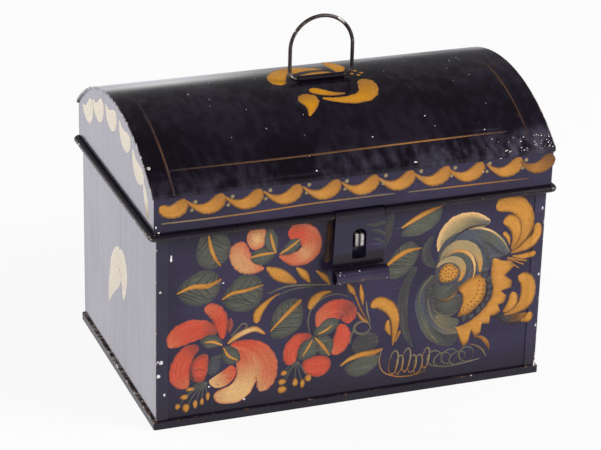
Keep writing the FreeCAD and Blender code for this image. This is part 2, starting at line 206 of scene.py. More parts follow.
class Graph:
    """A node tree that is filled by expressions."""

    def __init__(self, tree):
        self.tree = tree
        tree.nodes.clear()

    def node(self, kind, choices, sockets, out=0):
        """A node of that kind: first its settings, then values or links for its sockets. Gives one output."""
        made = self.tree.nodes.new("ShaderNode" + kind)
        for name, choice in choices.items():
            setattr(made, name, choice)
        for name, value in sockets.items():
            if isinstance(value, Value):
                self.tree.links.new(value.socket, made.inputs[name])
            else:
                made.inputs[name].default_value = value
        return Value(self, made.outputs[out]) if made.outputs else made

    def noise(self, place, scale, stretch=(1.0, 1.0, 1.0), detail=2.0, offset=(0.0, 0.0, 0.0)):
        """Cloudy noise from 0 to 1 at that many features per metre, stretched along the axes."""
        moved = self.node("Mapping", {}, {"Vector": place, "Location": offset, "Scale": stretch})
        return self.node("TexNoise", {}, {"Vector": moved, "Scale": scale, "Detail": detail})

    def step(self, value, start, end, low_value=0.0, high_value=1.0):
        """Smooth step from low_value before start to high_value after end."""
        return self.node("MapRange", {"interpolation_type": "SMOOTHSTEP"},
                         {"Value": value, "From Min": start, "From Max": end, "To Min": low_value,
                          "To Max": high_value})

    def mix(self, factor, first, second, blend="MIX"):
        """Colour between first and second."""
        return self.node("Mix", {"data_type": "RGBA", "blend_type": blend}, {0: factor, 6: first, 7: second}, out=2)

    def place(self):
        """The point's own place on the trunk, in metres, with its three coordinates."""
        spot = self.node("TexCoord", {}, {}, out="Object")
        return (spot, *(self.node("SeparateXYZ", {}, {"Vector": spot}, out=axis) for axis in "XYZ"))

    def surface(self, **sockets):
        """The principled shader with these sockets, joined to the output."""
        named = {name.replace("_", " "): value for name, value in sockets.items()}
        shader = self.node("BsdfPrincipled", {}, named)
        self.node("OutputMaterial", {}, {"Surface": shader})


def rgba(tone):
    """A colour with full alpha."""
    return (*tone, 1.0)


def new_material(name):
    """An empty material and its graph."""
    material = bpy.data.materials.new(name)
    material.use_nodes = True
    return material, Graph(material.node_tree)


def end_coat(half):
    """The clear coat's weight on a sheet whose end face stands at x = half either way: none on its laps."""
    weight = settings().finish.end_coat
    return lambda g, x, y, z: g.step(abs(x), half - 0.4 * MM, half - 0.1 * MM, 0.0, weight)


def varnish(name, tone, edge=None, gleam=0.3, coat=0.0, streaks=0.0, darkening=None, sheen_and_dulling=None):
    """Black japan varnish over tinned sheet: cloudy depth, dust specks, fine scratches and a hand's smudges, with
    rust and bare tin where it is worn. edge(graph, x, y, z) gives how worn a place is, from 0 to 1. The darkening
    function gives how far a place is darkened, for painted shade and for darker bands; the sheen function how far
    its colour is lifted to a blue grey, for a painted sheen and a dull film. gleam is the specular level. coat is the
    clear coat's weight, or such a function of it."""
    finish = settings().finish
    material, g = new_material(name)
    spot, x, y, z = g.place()
    cloud = g.noise(spot, 22.0, detail=4.0)
    drift = g.noise(spot, 60.0, stretch=(0.25, 1.0, 1.0), detail=3.0, offset=(3.0, 1.0, 0.0))
    dust = g.step(g.noise(spot, 900.0, detail=1.0), 0.69, 0.75)
    scratch = g.step(g.noise(spot, 420.0, stretch=(0.06, 1.0, 1.0), detail=1.0, offset=(0.0, 5.0, 2.0)), 0.68, 0.72)
    cross = g.step(g.noise(spot, 420.0, stretch=(1.0, 1.0, 0.05), detail=1.0, offset=(4.0, 0.0, 7.0)), 0.69, 0.73)
    smudge = g.step(cloud, 0.42, 0.66)
    deep = tuple(0.6 * c for c in tone)
    pale = tuple(1.6 * c + 0.012 for c in tone)
    body = g.mix(g.step(cloud + drift * 0.5, 0.55, 0.95), rgba(deep), rgba(tone))
    marks = (scratch + cross) * g.step(drift, 0.5, 0.62) * 0.45 + dust * 0.35
    body = g.mix(marks, body, rgba(pale))
    # Painted shade, and darker bands: mixed towards a near black.
    if darkening:
        body = g.mix(darkening(g, x, y, z) * g.step(drift + cloud, 0.6, 1.3, 0.4, 0.9), body, rgba(linear(24, 18, 26)))
    # Painted sheen, and a dull film in clouds: mixed towards a blue grey.
    if sheen_and_dulling:
        streak = g.noise(spot, 200.0, stretch=(1.0, 0.5, 0.5), detail=4.0, offset=(2.0, 0.0, 6.0))
        body = g.mix(sheen_and_dulling(g, x, y, z) * g.step(streak + cloud, 0.85, 1.3), body, rgba(linear(84, 80, 98)))
    wear = 0.0
    if edge:
        ragged = g.noise(spot, 330.0, detail=4.0, offset=(9.0, 2.0, 4.0))
        worn = ragged + edge(g, x, y, z) * 0.42
        body = g.mix(g.step(worn, 0.8, 0.9) * 0.8, body, rgba(finish.rust))
        wear = g.step(worn, 0.9, 0.95)
        body = g.mix(wear, body, rgba(finish.tin))
    rough = finish.gloss + smudge * 0.09 + marks * 0.25
    if streaks:
        run = g.noise(spot, 190.0, stretch=(1.0, 1.0, 0.05), detail=3.0, offset=(1.0, 6.0, 2.0))
        rough = rough + g.step(run, 0.45, 0.7) * streaks
    ripple = g.noise(spot, 16.0, detail=1.0, offset=(2.0, 2.0, 5.0))
    peel = g.noise(spot, 260.0, detail=2.0, offset=(6.0, 1.0, 3.0))
    waves = g.node("Bump", {}, {"Strength": 0.5, "Distance": 0.0012, "Height": ripple})
    grain = g.node("Bump", {}, {"Strength": 0.16, "Distance": 0.0002, "Height": peel - marks, "Normal": waves})
    weight = coat(g, x, y, z) if callable(coat) else coat
    g.surface(Base_Color=body, Roughness=rough, Metallic=wear * 0.9, Specular_IOR_Level=gleam, Coat_Weight=weight,
              Coat_Roughness=0.12, Coat_IOR=2.4, Normal=grain)
    return material


def bare_metal(name, tone, tarnish, rough, bright, metallic=0.9, shade=None):
    """Tinned or iron metal: drawn along its length, tarnished in clouds and rubbed bright in places.
    shade(graph, x, y, z) gives how much painted shade a place gets."""
    finish = settings().finish
    material, g = new_material(name)
    spot, x, y, z = g.place()
    cloud = g.noise(spot, 90.0, detail=4.0)
    drawn = g.noise(spot, 1400.0, stretch=(0.15, 1.0, 0.4), detail=2.0)
    pits = g.step(g.noise(spot, 700.0, detail=2.0, offset=(5.0, 0.0, 1.0)), 0.6, 0.7)
    rubbed = g.step(g.noise(spot, 130.0, detail=3.0, offset=(0.0, 8.0, 3.0)), 0.6, 0.68)
    body = g.mix(g.step(cloud, 0.4, 0.65), rgba(tone), rgba(tarnish))
    body = g.mix(pits * 0.5, body, rgba(finish.rust))
    body = g.mix(rubbed * bright, body, rgba(finish.tin))
    # Painted shade, mixed towards a near black.
    if shade:
        body = g.mix(shade(g, x, y, z), body, rgba(linear(30, 26, 30)))
    bump = g.node("Bump", {}, {"Strength": 0.25, "Distance": 0.0002, "Height": drawn - pits})
    g.surface(Base_Color=body, Metallic=metallic - pits * 0.4, Roughness=rough + drawn * 0.15 + pits * 0.2 - rubbed * 0.1,
              Normal=bump)
    return material


def paint_material(gloss=0.4):
    """Brush paint: the mark's own colours, combed by the bristles along the stroke, thin and rubbed in specks."""
    found = bpy.data.materials.get("brush_paint")
    if found:
        return found
    paints = settings().paints
    material, g = new_material("brush_paint")
    tint = g.node("Attribute", {"attribute_name": "paint"}, {}, out="Color")
    along = g.node("UVMap", {"uv_map": "stroke"}, {}, out="UV")
    spot = g.place()[0]
    comb = g.noise(along, 1.0, stretch=(0.5, 10.0, 1.0), detail=3.0)
    body = g.mix(g.step(comb, 0.4, 0.62, 0.0, 0.2), tint, rgba((0.6, 0.52, 0.5)), blend="MULTIPLY")
    lights = g.noise(along, 1.0, stretch=(0.4, 7.0, 1.0), detail=2.0, offset=(7.0, 3.0, 0.0))
    body = g.mix(g.step(lights, 0.52, 0.72, 0.0, 0.05), body, rgba((1.0, 0.9, 0.72)), blend="SCREEN")
    crumbs = g.step(g.noise(spot, 1100.0, detail=2.0), 0.52, 0.72)
    body = g.mix(crumbs * 0.34, body, rgba(paints.umber))
    flecks = g.step(g.noise(spot, 1250.0, detail=1.0, offset=(3.0, 9.0, 1.0)), 0.56, 0.7)
    body = g.mix(flecks * 0.07, body, rgba(paints.cream), blend="SCREEN")
    bump = g.node("Bump", {}, {"Strength": 0.3, "Distance": 0.0001, "Height": comb - crumbs})
    g.surface(Base_Color=body, Roughness=gloss + comb * 0.14, Specular_IOR_Level=0.2, Normal=bump)
    return material


# ---------------------------------------------------------------- brush marks

def smooth(points, count, closed=False):
    """Rows of numbers through given rows: a cubic between neighbours, with slopes by central differences over
    the chord length of the first two columns. Samples lie closer together near both ends."""
    points = np.asarray(points, float)
    if closed:
        points = np.concatenate([points[-2:], points, points[:3]])
    steps = np.linalg.norm(np.diff(points[:, :2], axis=0), axis=1)
    chord = np.concatenate([[0.0], np.cumsum(steps)])
    slope = np.gradient(points, chord, axis=0)
    if closed:
        at = np.linspace(chord[2], chord[-3], count)
    else:
        at = chord[-1] * (1 - np.cos(np.linspace(0, np.pi, count))) / 2
    i = np.clip(np.searchsorted(chord, at, side="right") - 1, 0, len(chord) - 2)
    h = (chord[i + 1] - chord[i])[:, None]
    u = (at - chord[i])[:, None] / h
    return ((1 + 2 * u) * (1 - u) ** 2 * points[i] + u * (1 - u) ** 2 * h * slope[i]
            + u * u * (3 - 2 * u) * points[i + 1] + u * u * (u - 1) * h * slope[i + 1]), at


def tones(names):
    """Rows of linear colour for colour names."""
    paints = settings().paints
    return np.array([getattr(paints, name)[:] for name in names])


def ramp(names, at):
    """Colours along at, which goes from 0 to 1, with the named colours evenly spaced."""
    rows = tones(names)
    stops = np.linspace(0, 1, len(rows)) if len(rows) > 1 else np.array([0.0])
    return np.stack([np.interp(at, stops, rows[:, k]) for k in range(3)], axis=-1)


def height(inner, layer):
    """Height of the film over the sheet: it dips in at the rim, where inner is 0, rises in the outer fifth and
    crowns towards the middle, where inner is 1. Each layer lies on the one before."""
    brush = settings().brush
    rise = np.clip(inner / 0.2, 0, 1)
    rise = rise * rise * (3 - 2 * rise)
    return -brush.dip + rise * (brush.dip + brush.film * (1 + layer)) + brush.crown * inner * (2 - inner)


def stroke(points, names, left=None, right=None, rim=None, layer=0, rows=44, columns=11):
    """One pull of the brush. Rows of (across, up, width) give its centreline and width. Point at length s and side v:
    centreline(s) + normal(s) * v * width(s) / 2, with the ends rounded as a half circle on the last width would be.
    left and right name colours that come in towards that side, rim one that lines both edges."""
    path, at = smooth(points, rows)
    tangent = np.gradient(path[:, :2], at, axis=0)
    tangent /= np.linalg.norm(tangent, axis=1)[:, None]
    normal = np.stack([-tangent[:, 1], tangent[:, 0]], axis=1)
    width = np.maximum(path[:, 2], 0.3)
    total = at[-1]
    for reach, near in ((points[0][2] / 2, at), (points[-1][2] / 2, total - at)):
        inside = np.clip(near / max(reach, 0.3), 0, 1)
        width = width * np.sqrt(np.maximum(1 - (1 - inside) ** 2, 0.0025))
    width = width * (1 + 0.035 * np.sin(at * 1.9 + path[:, 0]) + 0.02 * np.sin(at * 4.3 + path[:, 1]))
    v = np.sin(np.linspace(-np.pi / 2, np.pi / 2, columns))
    across = path[:, 0, None] + normal[:, 0, None] * v * width[:, None] / 2
    up = path[:, 1, None] + normal[:, 1, None] * v * width[:, None] / 2
    shade = np.repeat(ramp(names, at / total)[:, None, :], columns, axis=1)
    for side, name in ((1, left), (-1, right)):
        if name:
            blend = np.clip((side * v - 0.1) / 0.75, 0, 1)[None, :, None]
            shade = shade + (tones([name])[0] - shade) * blend * blend * (3 - 2 * blend)
    if rim:
        edge = np.maximum(1 - 2.6 / width, 0.5)[:, None]
        shade = shade + (tones([rim])[0] - shade) * np.clip((np.abs(v) - edge) / (0.6 - 0.6 * edge), 0, 0.85)[..., None]
    taper = np.minimum(np.minimum(at, total - at) / (0.12 * total), 1)
    inner = (1 - np.abs(v))[None, :] * taper[:, None] ** 0.5
    return {"across": across * MM, "up": up * MM, "height": height(inner, layer) * np.ones_like(across),
            "shade": shade, "u": np.repeat(at[:, None], columns, 1) * 0.1,
            "v": v[None, :] * width[:, None] * 0.05 + 0.37 * path[0, 0]}


def patch(outline, names, layer=0, side=None, size=17):
    """A filled shape. The outline's points go round it; a cubic joins them, and its radius about their middle is read
    by angle. A square grid is bent to a disc, (p, q) to (p sqrt(1 - q^2 / 2), q sqrt(1 - p^2 / 2)), and each point is
    carried out to that radius. Colours run from the middle to the rim, or along side, a direction in degrees."""
    middle = np.mean(np.asarray(outline, float), axis=0)
    line = smooth(outline, 181, closed=True)[0] - middle
    turn = np.arctan2(line[:, 1], line[:, 0])
    order = np.argsort(turn)
    p, q = np.meshgrid(np.linspace(-1, 1, size), np.linspace(-1, 1, size), indexing="ij")
    disc_x, disc_y = p * np.sqrt(1 - q * q / 2), q * np.sqrt(1 - p * p / 2)
    reach = np.hypot(disc_x, disc_y)
    radius = np.interp(np.arctan2(disc_y, disc_x), turn[order], np.linalg.norm(line, axis=1)[order], period=2 * np.pi)
    across, up = middle[0] + disc_x * radius, middle[1] + disc_y * radius
    if side is None:
        blend = np.clip(reach, 0, 1)
    else:
        way = math.radians(side)
        blend = 0.5 + 0.5 * (disc_x * math.cos(way) + disc_y * math.sin(way))
    return {"across": across * MM, "up": up * MM, "height": height(1 - np.clip(reach, 0, 1), layer),
            "shade": ramp(names, blend), "u": across * 0.1, "v": up * 0.1}


def field(one, other, names, layer=0, rows=120, columns=11):
    """A filled shape between two lines of straight runs. Point (s, t): one(s) (1 - t) + other(s) t, with s along each
    line's own length. Colours run from the one line to the other."""
    s, t = np.linspace(0, 1, rows), (1 - np.cos(np.linspace(0, np.pi, columns))) / 2
    lines = []
    for line in (one, other):
        line = np.asarray(line, float)
        at = np.concatenate([[0.0], np.cumsum(np.linalg.norm(np.diff(line, axis=0), axis=1))])
        lines.append(np.stack([np.interp(s * at[-1], at, line[:, k]) for k in range(2)], axis=-1)[:, None, :])
    spots = lines[0] * (1 - t[None, :, None]) + lines[1] * t[None, :, None]
    inner = 2 * np.minimum(t, 1 - t)[None, :] * np.minimum(np.minimum(s, 1 - s) / 0.04, 1)[:, None]
    return {"across": spots[..., 0] * MM, "up": spots[..., 1] * MM, "height": height(inner, layer),
            "shade": ramp(names, np.broadcast_to(t, inner.shape)), "u": spots[..., 0] * 0.1, "v": spots[..., 1] * 0.1}


def dot(across, up, width, tall=None, names=("gold",), layer=0, size=7):
    """A round or oval touch of the brush, slightly lopsided."""
    tall = tall or width
    turn = np.radians(np.arange(0, 360, 45))
    wobble = 1 + 0.08 * np.sin(3 * turn + across)
    ring = np.stack([across + width / 2 * wobble * np.cos(turn), up + tall / 2 * wobble * np.sin(turn)], axis=1)
    return patch(ring, names, layer, size=size)


def comma(points, layer=1):
    """A gold comma or lobe with a brown edge, shaded along its inner side."""
    return stroke(points, ("gold", "gold", "brown"), rim="umber", layer=layer)


def ring(x, z, wide, tall, lean, names, layer=0, turns=1):
    """A thin line round an oval of those half axes, leaning by lean degrees, a little past its start. A second turn
    runs just beside the first."""
    turn = np.linspace(0, 2 * np.pi * turns + 0.4, turns * 13 + 1) - np.pi / 2
    loose = 1 + 0.09 * np.sin(turn / 2 + x)
    a, b, lean = wide * loose * np.cos(turn), tall * loose * np.sin(turn), math.radians(lean)
    return stroke(np.c_[x + a * math.cos(lean) - b * math.sin(lean), z + a * math.sin(lean) + b * math.cos(lean),
                        0.8 + 0.2 * np.sin(turn)], names, layer=layer, rows=turns * 48, columns=5)


def leaf(outline, rib, veins=8, layer=0):
    """A leaf: a broad flat body, dark veins that slant out from the rib to the rim on both sides, and a gold midrib.
    A vein's length is where its ray crosses the outline's polygon."""
    marks = [patch(outline, ("leaf", "leaf", "leaf", "moss"), layer=layer)]
    path = smooth(rib, 60)[0]
    ring = smooth(outline, 121, closed=True)[0]
    for k in np.linspace(3, 55, veins).astype(int):
        ahead = path[k + 3, :2] - path[k, :2]
        ahead = ahead / np.linalg.norm(ahead)
        for hand in (-1, 1):
            slant = math.radians(48 * hand)
            way = np.array([ahead[0] * math.cos(slant) - ahead[1] * math.sin(slant),
                            ahead[0] * math.sin(slant) + ahead[1] * math.cos(slant)])
            off = ring - path[k, :2]
            side, reach = way[0] * off[:, 1] - way[1] * off[:, 0], off @ way
            hits = reach[:-1][(side[:-1] * side[1:] <= 0) & (reach[:-1] > 0)]
            if len(hits) and hits.min() > 2.5:
                tip = path[k, :2] + way * (hits.min() - 1)
                marks.append(stroke([(*path[k, :2], 0.7), (*(path[k, :2] + tip) / 2 + ahead * 0.4, 0.7), (*tip, 0.4)],
                                    ("night", "moss"), layer=layer + 0.6, rows=12, columns=5))
    marks.append(stroke(rib, ("gold", "gold", "brown"), rim="umber", layer=layer + 1))
    return marks


# Panels: flat coordinates (across, up) and a height to places in space

def front_panel(across, up, rise):
    """The box's front. The paint bridges the step up to the laps of the two end sheets over 2 mm."""
    step = np.clip((np.abs(across) - LAP_INNER_X) / (2 * MM) + 1.2, 0, 1)
    return np.stack([across, FRONT_Y + (LAP_Y - FRONT_Y) * step - rise, up], axis=-1)


def apron_panel(across, up, rise):
    """The lid's front apron."""
    return np.stack([across, APRON_Y - rise, up], axis=-1)


def dome_panel(across, up, rise):
    """The dome. Up is the arc length behind the crown: angle up / radius about the dome's axis."""
    angle, reach = up / DOME_RADIUS, DOME_RADIUS + rise
    return np.stack([across, reach * np.sin(angle), CROWN_Z - DOME_RADIUS + reach * np.cos(angle)], axis=-1)


def curl_panel(across, up, rise):
    """The hasp's curl. Up is the arc length over its foremost line: angle up / radius about the curl's axis."""
    angle, reach = up / CURL_RADIUS, CURL_RADIUS + rise
    return np.stack([across, CURL_Y - reach * np.cos(angle), CURL_Z + reach * np.sin(angle)], axis=-1)


def plate_panel(across, up, rise):
    """The hasp's flat."""
    return np.stack([across, PLATE_Y - rise, up], axis=-1)


def box_end_panel(across, up, rise):
    """The box's left end: across goes to the front."""
    return np.stack([BOX_END_X - rise, -across, up], axis=-1)


def lid_end_panel(across, up, rise):
    """The lid's left end: across goes to the front."""
    return np.stack([LID_END_X - rise, -across, up], axis=-1)


def lay(name, body, panel, marks, material=None):
    """Joins marks into one piece on its panel, with colours and stroke coordinates, and lets it ride on its body.
    A mark's quads join grid neighbours, turned so that they face away from the sheet."""
    places, quads, shades, strokes, first = [], [], [], [], 0
    for mark in marks:
        rise = mark["height"]
        spots = panel(mark["across"], mark["up"], rise)
        outward = panel(mark["across"], mark["up"], rise + MM) - spots
        rows, columns = rise.shape
        index = first + np.arange(rows * columns).reshape(rows, columns)
        quad = np.stack([index[:-1, :-1], index[1:, :-1], index[1:, 1:], index[:-1, 1:]], axis=-1).reshape(-1, 4)
        turn = np.cross(spots[1:, :-1] - spots[:-1, :-1], spots[:-1, 1:] - spots[:-1, :-1])
        if np.sum(turn * outward[:-1, :-1]) < 0:
            quad = quad[:, ::-1]
        places.append(spots.reshape(-1, 3))
        quads.append(quad)
        shades.append(mark["shade"].reshape(-1, 3))
        strokes.append(np.stack([mark["u"], mark["v"]], axis=-1).reshape(-1, 2))
        first += rows * columns
    places, quads = np.concatenate(places), np.concatenate(quads)
    mesh = bpy.data.meshes.new(name)
    mesh.from_pydata(places, [], quads.tolist())
    mesh.polygons.foreach_set("use_smooth", np.ones(len(quads), bool))
    shade = mesh.attributes.new("paint", "FLOAT_COLOR", "POINT")
    shade.data.foreach_set("color", np.c_[np.concatenate(shades), np.ones(first)].ravel())
    layer = mesh.uv_layers.new(name="stroke")
    layer.data.foreach_set("uv", np.concatenate(strokes)[quads.ravel()].ravel())
    mesh.materials.append(material or paint_material())
    mesh.validate()
    piece = bpy.data.objects.new(name, mesh)
    bpy.context.collection.objects.link(piece)
    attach(piece, body)
    return piece


def cover(nodes, material):
    """Gives a material to CAD nodes by their own slots."""
    for name in nodes:
        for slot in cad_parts[name].material_slots:
            slot.material = material


# ---------------------------------------------------------------- finishes

class TrunkOperator(bpy.types.Operator):
    """Base of the trunk's operators."""
    bl_options = {"REGISTER", "UNDO"}


class TRUNK_OT_finish_box(TrunkOperator):
    """Varnish the box: cloudy blue black, glossy ends with runs, worn corners and foot"""
    bl_idname = "tin_trunk.finish_box"
    bl_label = "Finish the box"

    def execute(self, context):
        finish = settings().finish
        half = -BOX_END_X

        def corners(g, x, y, z):
            """Worn near the four upright corners and just above the foot."""
            upright = g.step(abs(x), half - 2 * MM, half) * g.step(abs(y), -LAP_Y - 2 * MM, -LAP_Y) * 0.72
            return upright + g.step(z, 10 * MM, 3 * MM) * g.step(abs(x), half - 12 * MM, half) * 0.4

        def foot(g, x, y, z):
            """Worn along the folded edge, most at the corners."""
            return g.step(z, 3.2 * MM, 4.6 * MM) * 0.6 + g.step(abs(x), half - 8 * MM, half) * 0.3

        def foot_and_rim_shade(g, x, y, z):
            """Painted shade: darker near the foot and under the lid's rim."""
            return g.step(z, 24 * MM, 5 * MM) + g.step(z, 108 * MM, 120 * MM) * 0.6

        cover(["body_front_sheet", "body_back_sheet"], varnish("box_varnish", finish.box, corners, darkening=foot_and_rim_shade))
        cover(["body_left_end", "body_right_end"],
              varnish("box_end_varnish", finish.box, corners, gleam=0.4, coat=end_coat(half), streaks=0.1, darkening=foot_and_rim_shade))
        cover(["bottom_pan"], varnish("pan_varnish", finish.pan, foot, gleam=0.25))
        cover(["body_rim_wire", "hinge_strap_left", "hinge_strap_right"], varnish("wire_varnish", finish.pan))
        return {"FINISHED"}


class TRUNK_OT_finish_lid(TrunkOperator):
    """Varnish the lid: purple black and glossy, scuffed on the crown, rubbed along its rolled rim"""
    bl_idname = "tin_trunk.finish_lid"
    bl_label = "Finish the lid"

    def execute(self, context):
        finish = settings().finish

        def scuffing_and_edge_glint(g, x, y, z):
            """Scuffed near the dome's front right. Along its ends, bare tin stands in for the edges' glint: a painted
            highlight.
            """
            right = g.step(x, 70 * MM, 100 * MM) * g.step(y, -30 * MM, -60 * MM) * 0.35
            return right + g.step(abs(x), 120.2 * MM, 121.1 * MM) * 0.8

        def rim(g, x, y, z):
            """Rubbed on the rolled rim and at its corners."""
            roll = g.step(z, RIM_Z + 2.2 * MM, RIM_Z + 0.8 * MM)
            return roll * 0.42 + g.step(abs(x), 112 * MM, 121 * MM) * roll * 0.2

        def shoulder_sheen_and_dulling(g, x, y, z):
            """Lifted to a blue grey along the front shoulder, more to the right, as a painted sheen; and in a few
            clouds elsewhere, as a dull film on the varnish.
            """
            front = g.step(y, -60 * MM, -72 * MM, 0.0, 0.4)
            return front * g.step(x, -60 * MM, 120 * MM, 0.6, 1.6) + g.step(abs(y), 50 * MM, 0, 0.08, 0.2)

        def glare(g, x, y, z):
            """Thicker and glossier varnish behind the crown, at the left."""
            return g.step(x, -10 * MM, -85 * MM) * g.step(y, -2 * MM, 22 * MM, 0.0, 0.8)

        cover(["lid_dome"], varnish("dome_varnish", finish.lid, scuffing_and_edge_glint, gleam=0.17, coat=glare, sheen_and_dulling=shoulder_sheen_and_dulling))
        def dark_bands(g, x, y, z):
            """Black on the rolled rim."""
            return g.step(z, RIM_Z + 3.2 * MM, RIM_Z + 1.8 * MM) * 2.0

        cover(["lid_front_apron", "lid_back_apron"], varnish("apron_varnish", finish.box, rim, darkening=dark_bands))
        def plate(g, x, y, z):
            """The clear coat lies on the flat of the ends and not on their rolled foot."""
            return g.step(z, RIM_Z + 2.0 * MM, RIM_Z + 3.5 * MM, 0.0, finish.end_coat)

        cover(["lid_left_end", "lid_right_end"],
              varnish("lid_end_varnish", finish.box, rim, gleam=0.5, coat=plate, streaks=0.1, darkening=dark_bands))
        cover(["lid_rim_wire", "hinge_pin_wire"], bare_metal("rim_wire_metal", finish.iron, finish.rust, 0.4, 0.3))
        cover(["bail_strap"], varnish("strap_varnish", finish.lid, lambda g, x, y, z: g.step(
            z, CROWN_Z + 2.4 * MM, CROWN_Z + 3.6 * MM) * 0.6))
        return {"FINISHED"}


class TRUNK_OT_finish_latch(TrunkOperator):
    """Finish the hasp, varnished and rubbed round its slot and grip, and the bare tin staple"""
    bl_idname = "tin_trunk.finish_latch"
    bl_label = "Finish the latch"

    def execute(self, context):
        finish = settings().finish

        def handled(g, x, y, z):
            """Rubbed round the slot, at the curled grip and its left end."""
            slot = g.step(abs(x), 6.2 * MM, 4.2 * MM) * g.step(z, 113 * MM, 110 * MM)
            grip = g.step(z, 92 * MM, 84 * MM) * 0.6 + g.step(abs(x), 12 * MM, 16 * MM) * g.step(z, 94 * MM, 86 * MM)
            return slot * 0.35 + grip * 0.45

        def dark_bands(g, x, y, z):
            """Black above the curl, a painted shade, and darker along the hinge."""
            return g.step(z, 99 * MM, 94 * MM) * g.step(z, 87 * MM, 90 * MM) * 2.0 + g.step(z, 115 * MM, 118 * MM) * 1.5

        def loop_shade(g, x, y, z):
            """Painted shade: dark between the loop's two sides and round its rim."""
            off = abs(x - 0.5 * MM)
            return g.step(off, 1.0 * MM, 0.5 * MM, 0.0, 0.9) + g.step(off, 2.1 * MM, 2.7 * MM, 0.0, 0.8)

        cover(["hasp_plate"], varnish("hasp_varnish", finish.box, handled, gleam=0.35, darkening=dark_bands))
        cover(["latch_staple"], bare_metal("staple_metal", finish.tin, linear(150, 142, 140), 0.28, 0.8, shade=loop_shade))
        return {"FINISHED"}


class TRUNK_OT_finish_bail(TrunkOperator):
    """Finish the bail: dark drawn wire, rubbed bright in places"""
    bl_idname = "tin_trunk.finish_bail"
    bl_label = "Finish the bail"

    def execute(self, context):
        finish = settings().finish
        cover(["bail_handle"], bare_metal("bail_metal", finish.iron, linear(52, 44, 46), 0.34, 0.5))
        return {"FINISHED"}


# ---------------------------------------------------------------- painting on the box

class TRUNK_OT_paint_leaves(TrunkOperator):
    """Paint the grey green leaves of the front, with their gold midribs, and a painted shadow beside the hasp"""
    bl_idname = "tin_trunk.paint_leaves"
    bl_label = "Paint the leaves"

    def execute(self, context):
        marks = [
            patch([(1, 30), (0, 36), (4, 41), (10, 42.5), (16, 40), (17, 34), (13, 30), (6, 29)], ("moss",),
                  layer=-0.5),
            stroke([(15, 90, 4), (18, 102, 8), (22, 116, 4)], ("moss",), layer=-0.5),
            stroke([(38, 80, 4), (33, 70, 6), (31, 55, 7), (33, 40, 5), (38, 28, 2)], ("moss",), layer=-0.5),
            stroke([(48, 98, 3), (44, 90, 6), (46, 82, 6), (52, 78, 2)], ("moss",), layer=-0.5),
            # Painted shadow of the hasp on the front, brown black: shade with a rust stain in it.
            stroke([(-16, 117, 4), (-16, 108, 5), (-16.5, 99, 6), (-17, 90, 6)], ("night", "umber", "night", "umber"),
                   left="night", right="night", layer=-0.5),
        ]
        marks += leaf([(-95, 110), (-94.5, 100), (-90, 96), (-82, 96), (-76, 101), (-75, 112), (-80, 118),
                       (-92, 118)], [(-88, 116.5, 1.5), (-86, 107, 3), (-83.5, 101, 2.5), (-80.5, 96.5, 1)])
        marks += leaf([(-106.5, 83), (-97, 94), (-90, 96), (-83.5, 94), (-80, 88), (-81, 81.5), (-83.5, 77),
                       (-91, 73.5), (-99, 74.5), (-105.5, 80.5)],
                      [(-106.5, 83, 1), (-97, 86, 3.5), (-88, 85.5, 4), (-80, 88.5, 1.5)])
        marks += leaf([(-80, 75.5), (-75.5, 83.5), (-69, 89.5), (-62, 90), (-56.5, 86), (-55, 81.5), (-57.5, 69),
                       (-65.5, 65.5), (-74.5, 68), (-79, 72.5)],
                      [(-80, 75.5, 1), (-74.5, 78.5, 2.5), (-65.5, 79.5, 2.8), (-55, 81.5, 1)])
        marks += leaf([(-33.5, 70), (-42.5, 70), (-49, 63.5), (-51, 54.5), (-50, 47), (-40, 46), (-31.5, 52.5),
                       (-30, 60)], [(-50.5, 51.5, 1), (-44, 58, 2.5), (-38, 63.5, 3.8), (-32, 69, 3.5)])
        marks += leaf([(-4.5, 21), (1, 25), (8, 27), (15, 27.5), (18.5, 25), (15, 18), (8, 14), (0, 14.5)],
                      [(-7, 22.5, 1), (-1.5, 26, 3), (5.5, 28, 4), (14.5, 28.5, 4), (19.5, 30, 1.5)])
        marks += leaf([(27, 101), (32, 107), (40, 111.5), (48, 114.5), (53.5, 116), (52, 108), (45, 101.5), (36, 99)],
                      [(28, 105.5, 1.5), (36, 110, 3.5), (45, 114, 3.5), (53, 116.5, 1)])
        marks += leaf([(18, 80), (22, 88), (28, 95), (35, 97), (40, 92), (38, 83), (31, 75), (23, 73.5)],
                      [(18.5, 82, 1.5), (25, 87, 3.8), (32, 90.5, 3.8), (41, 91.5, 1)])
        lay("leaf_painting", "box", front_panel, marks)
        return {"FINISHED"}


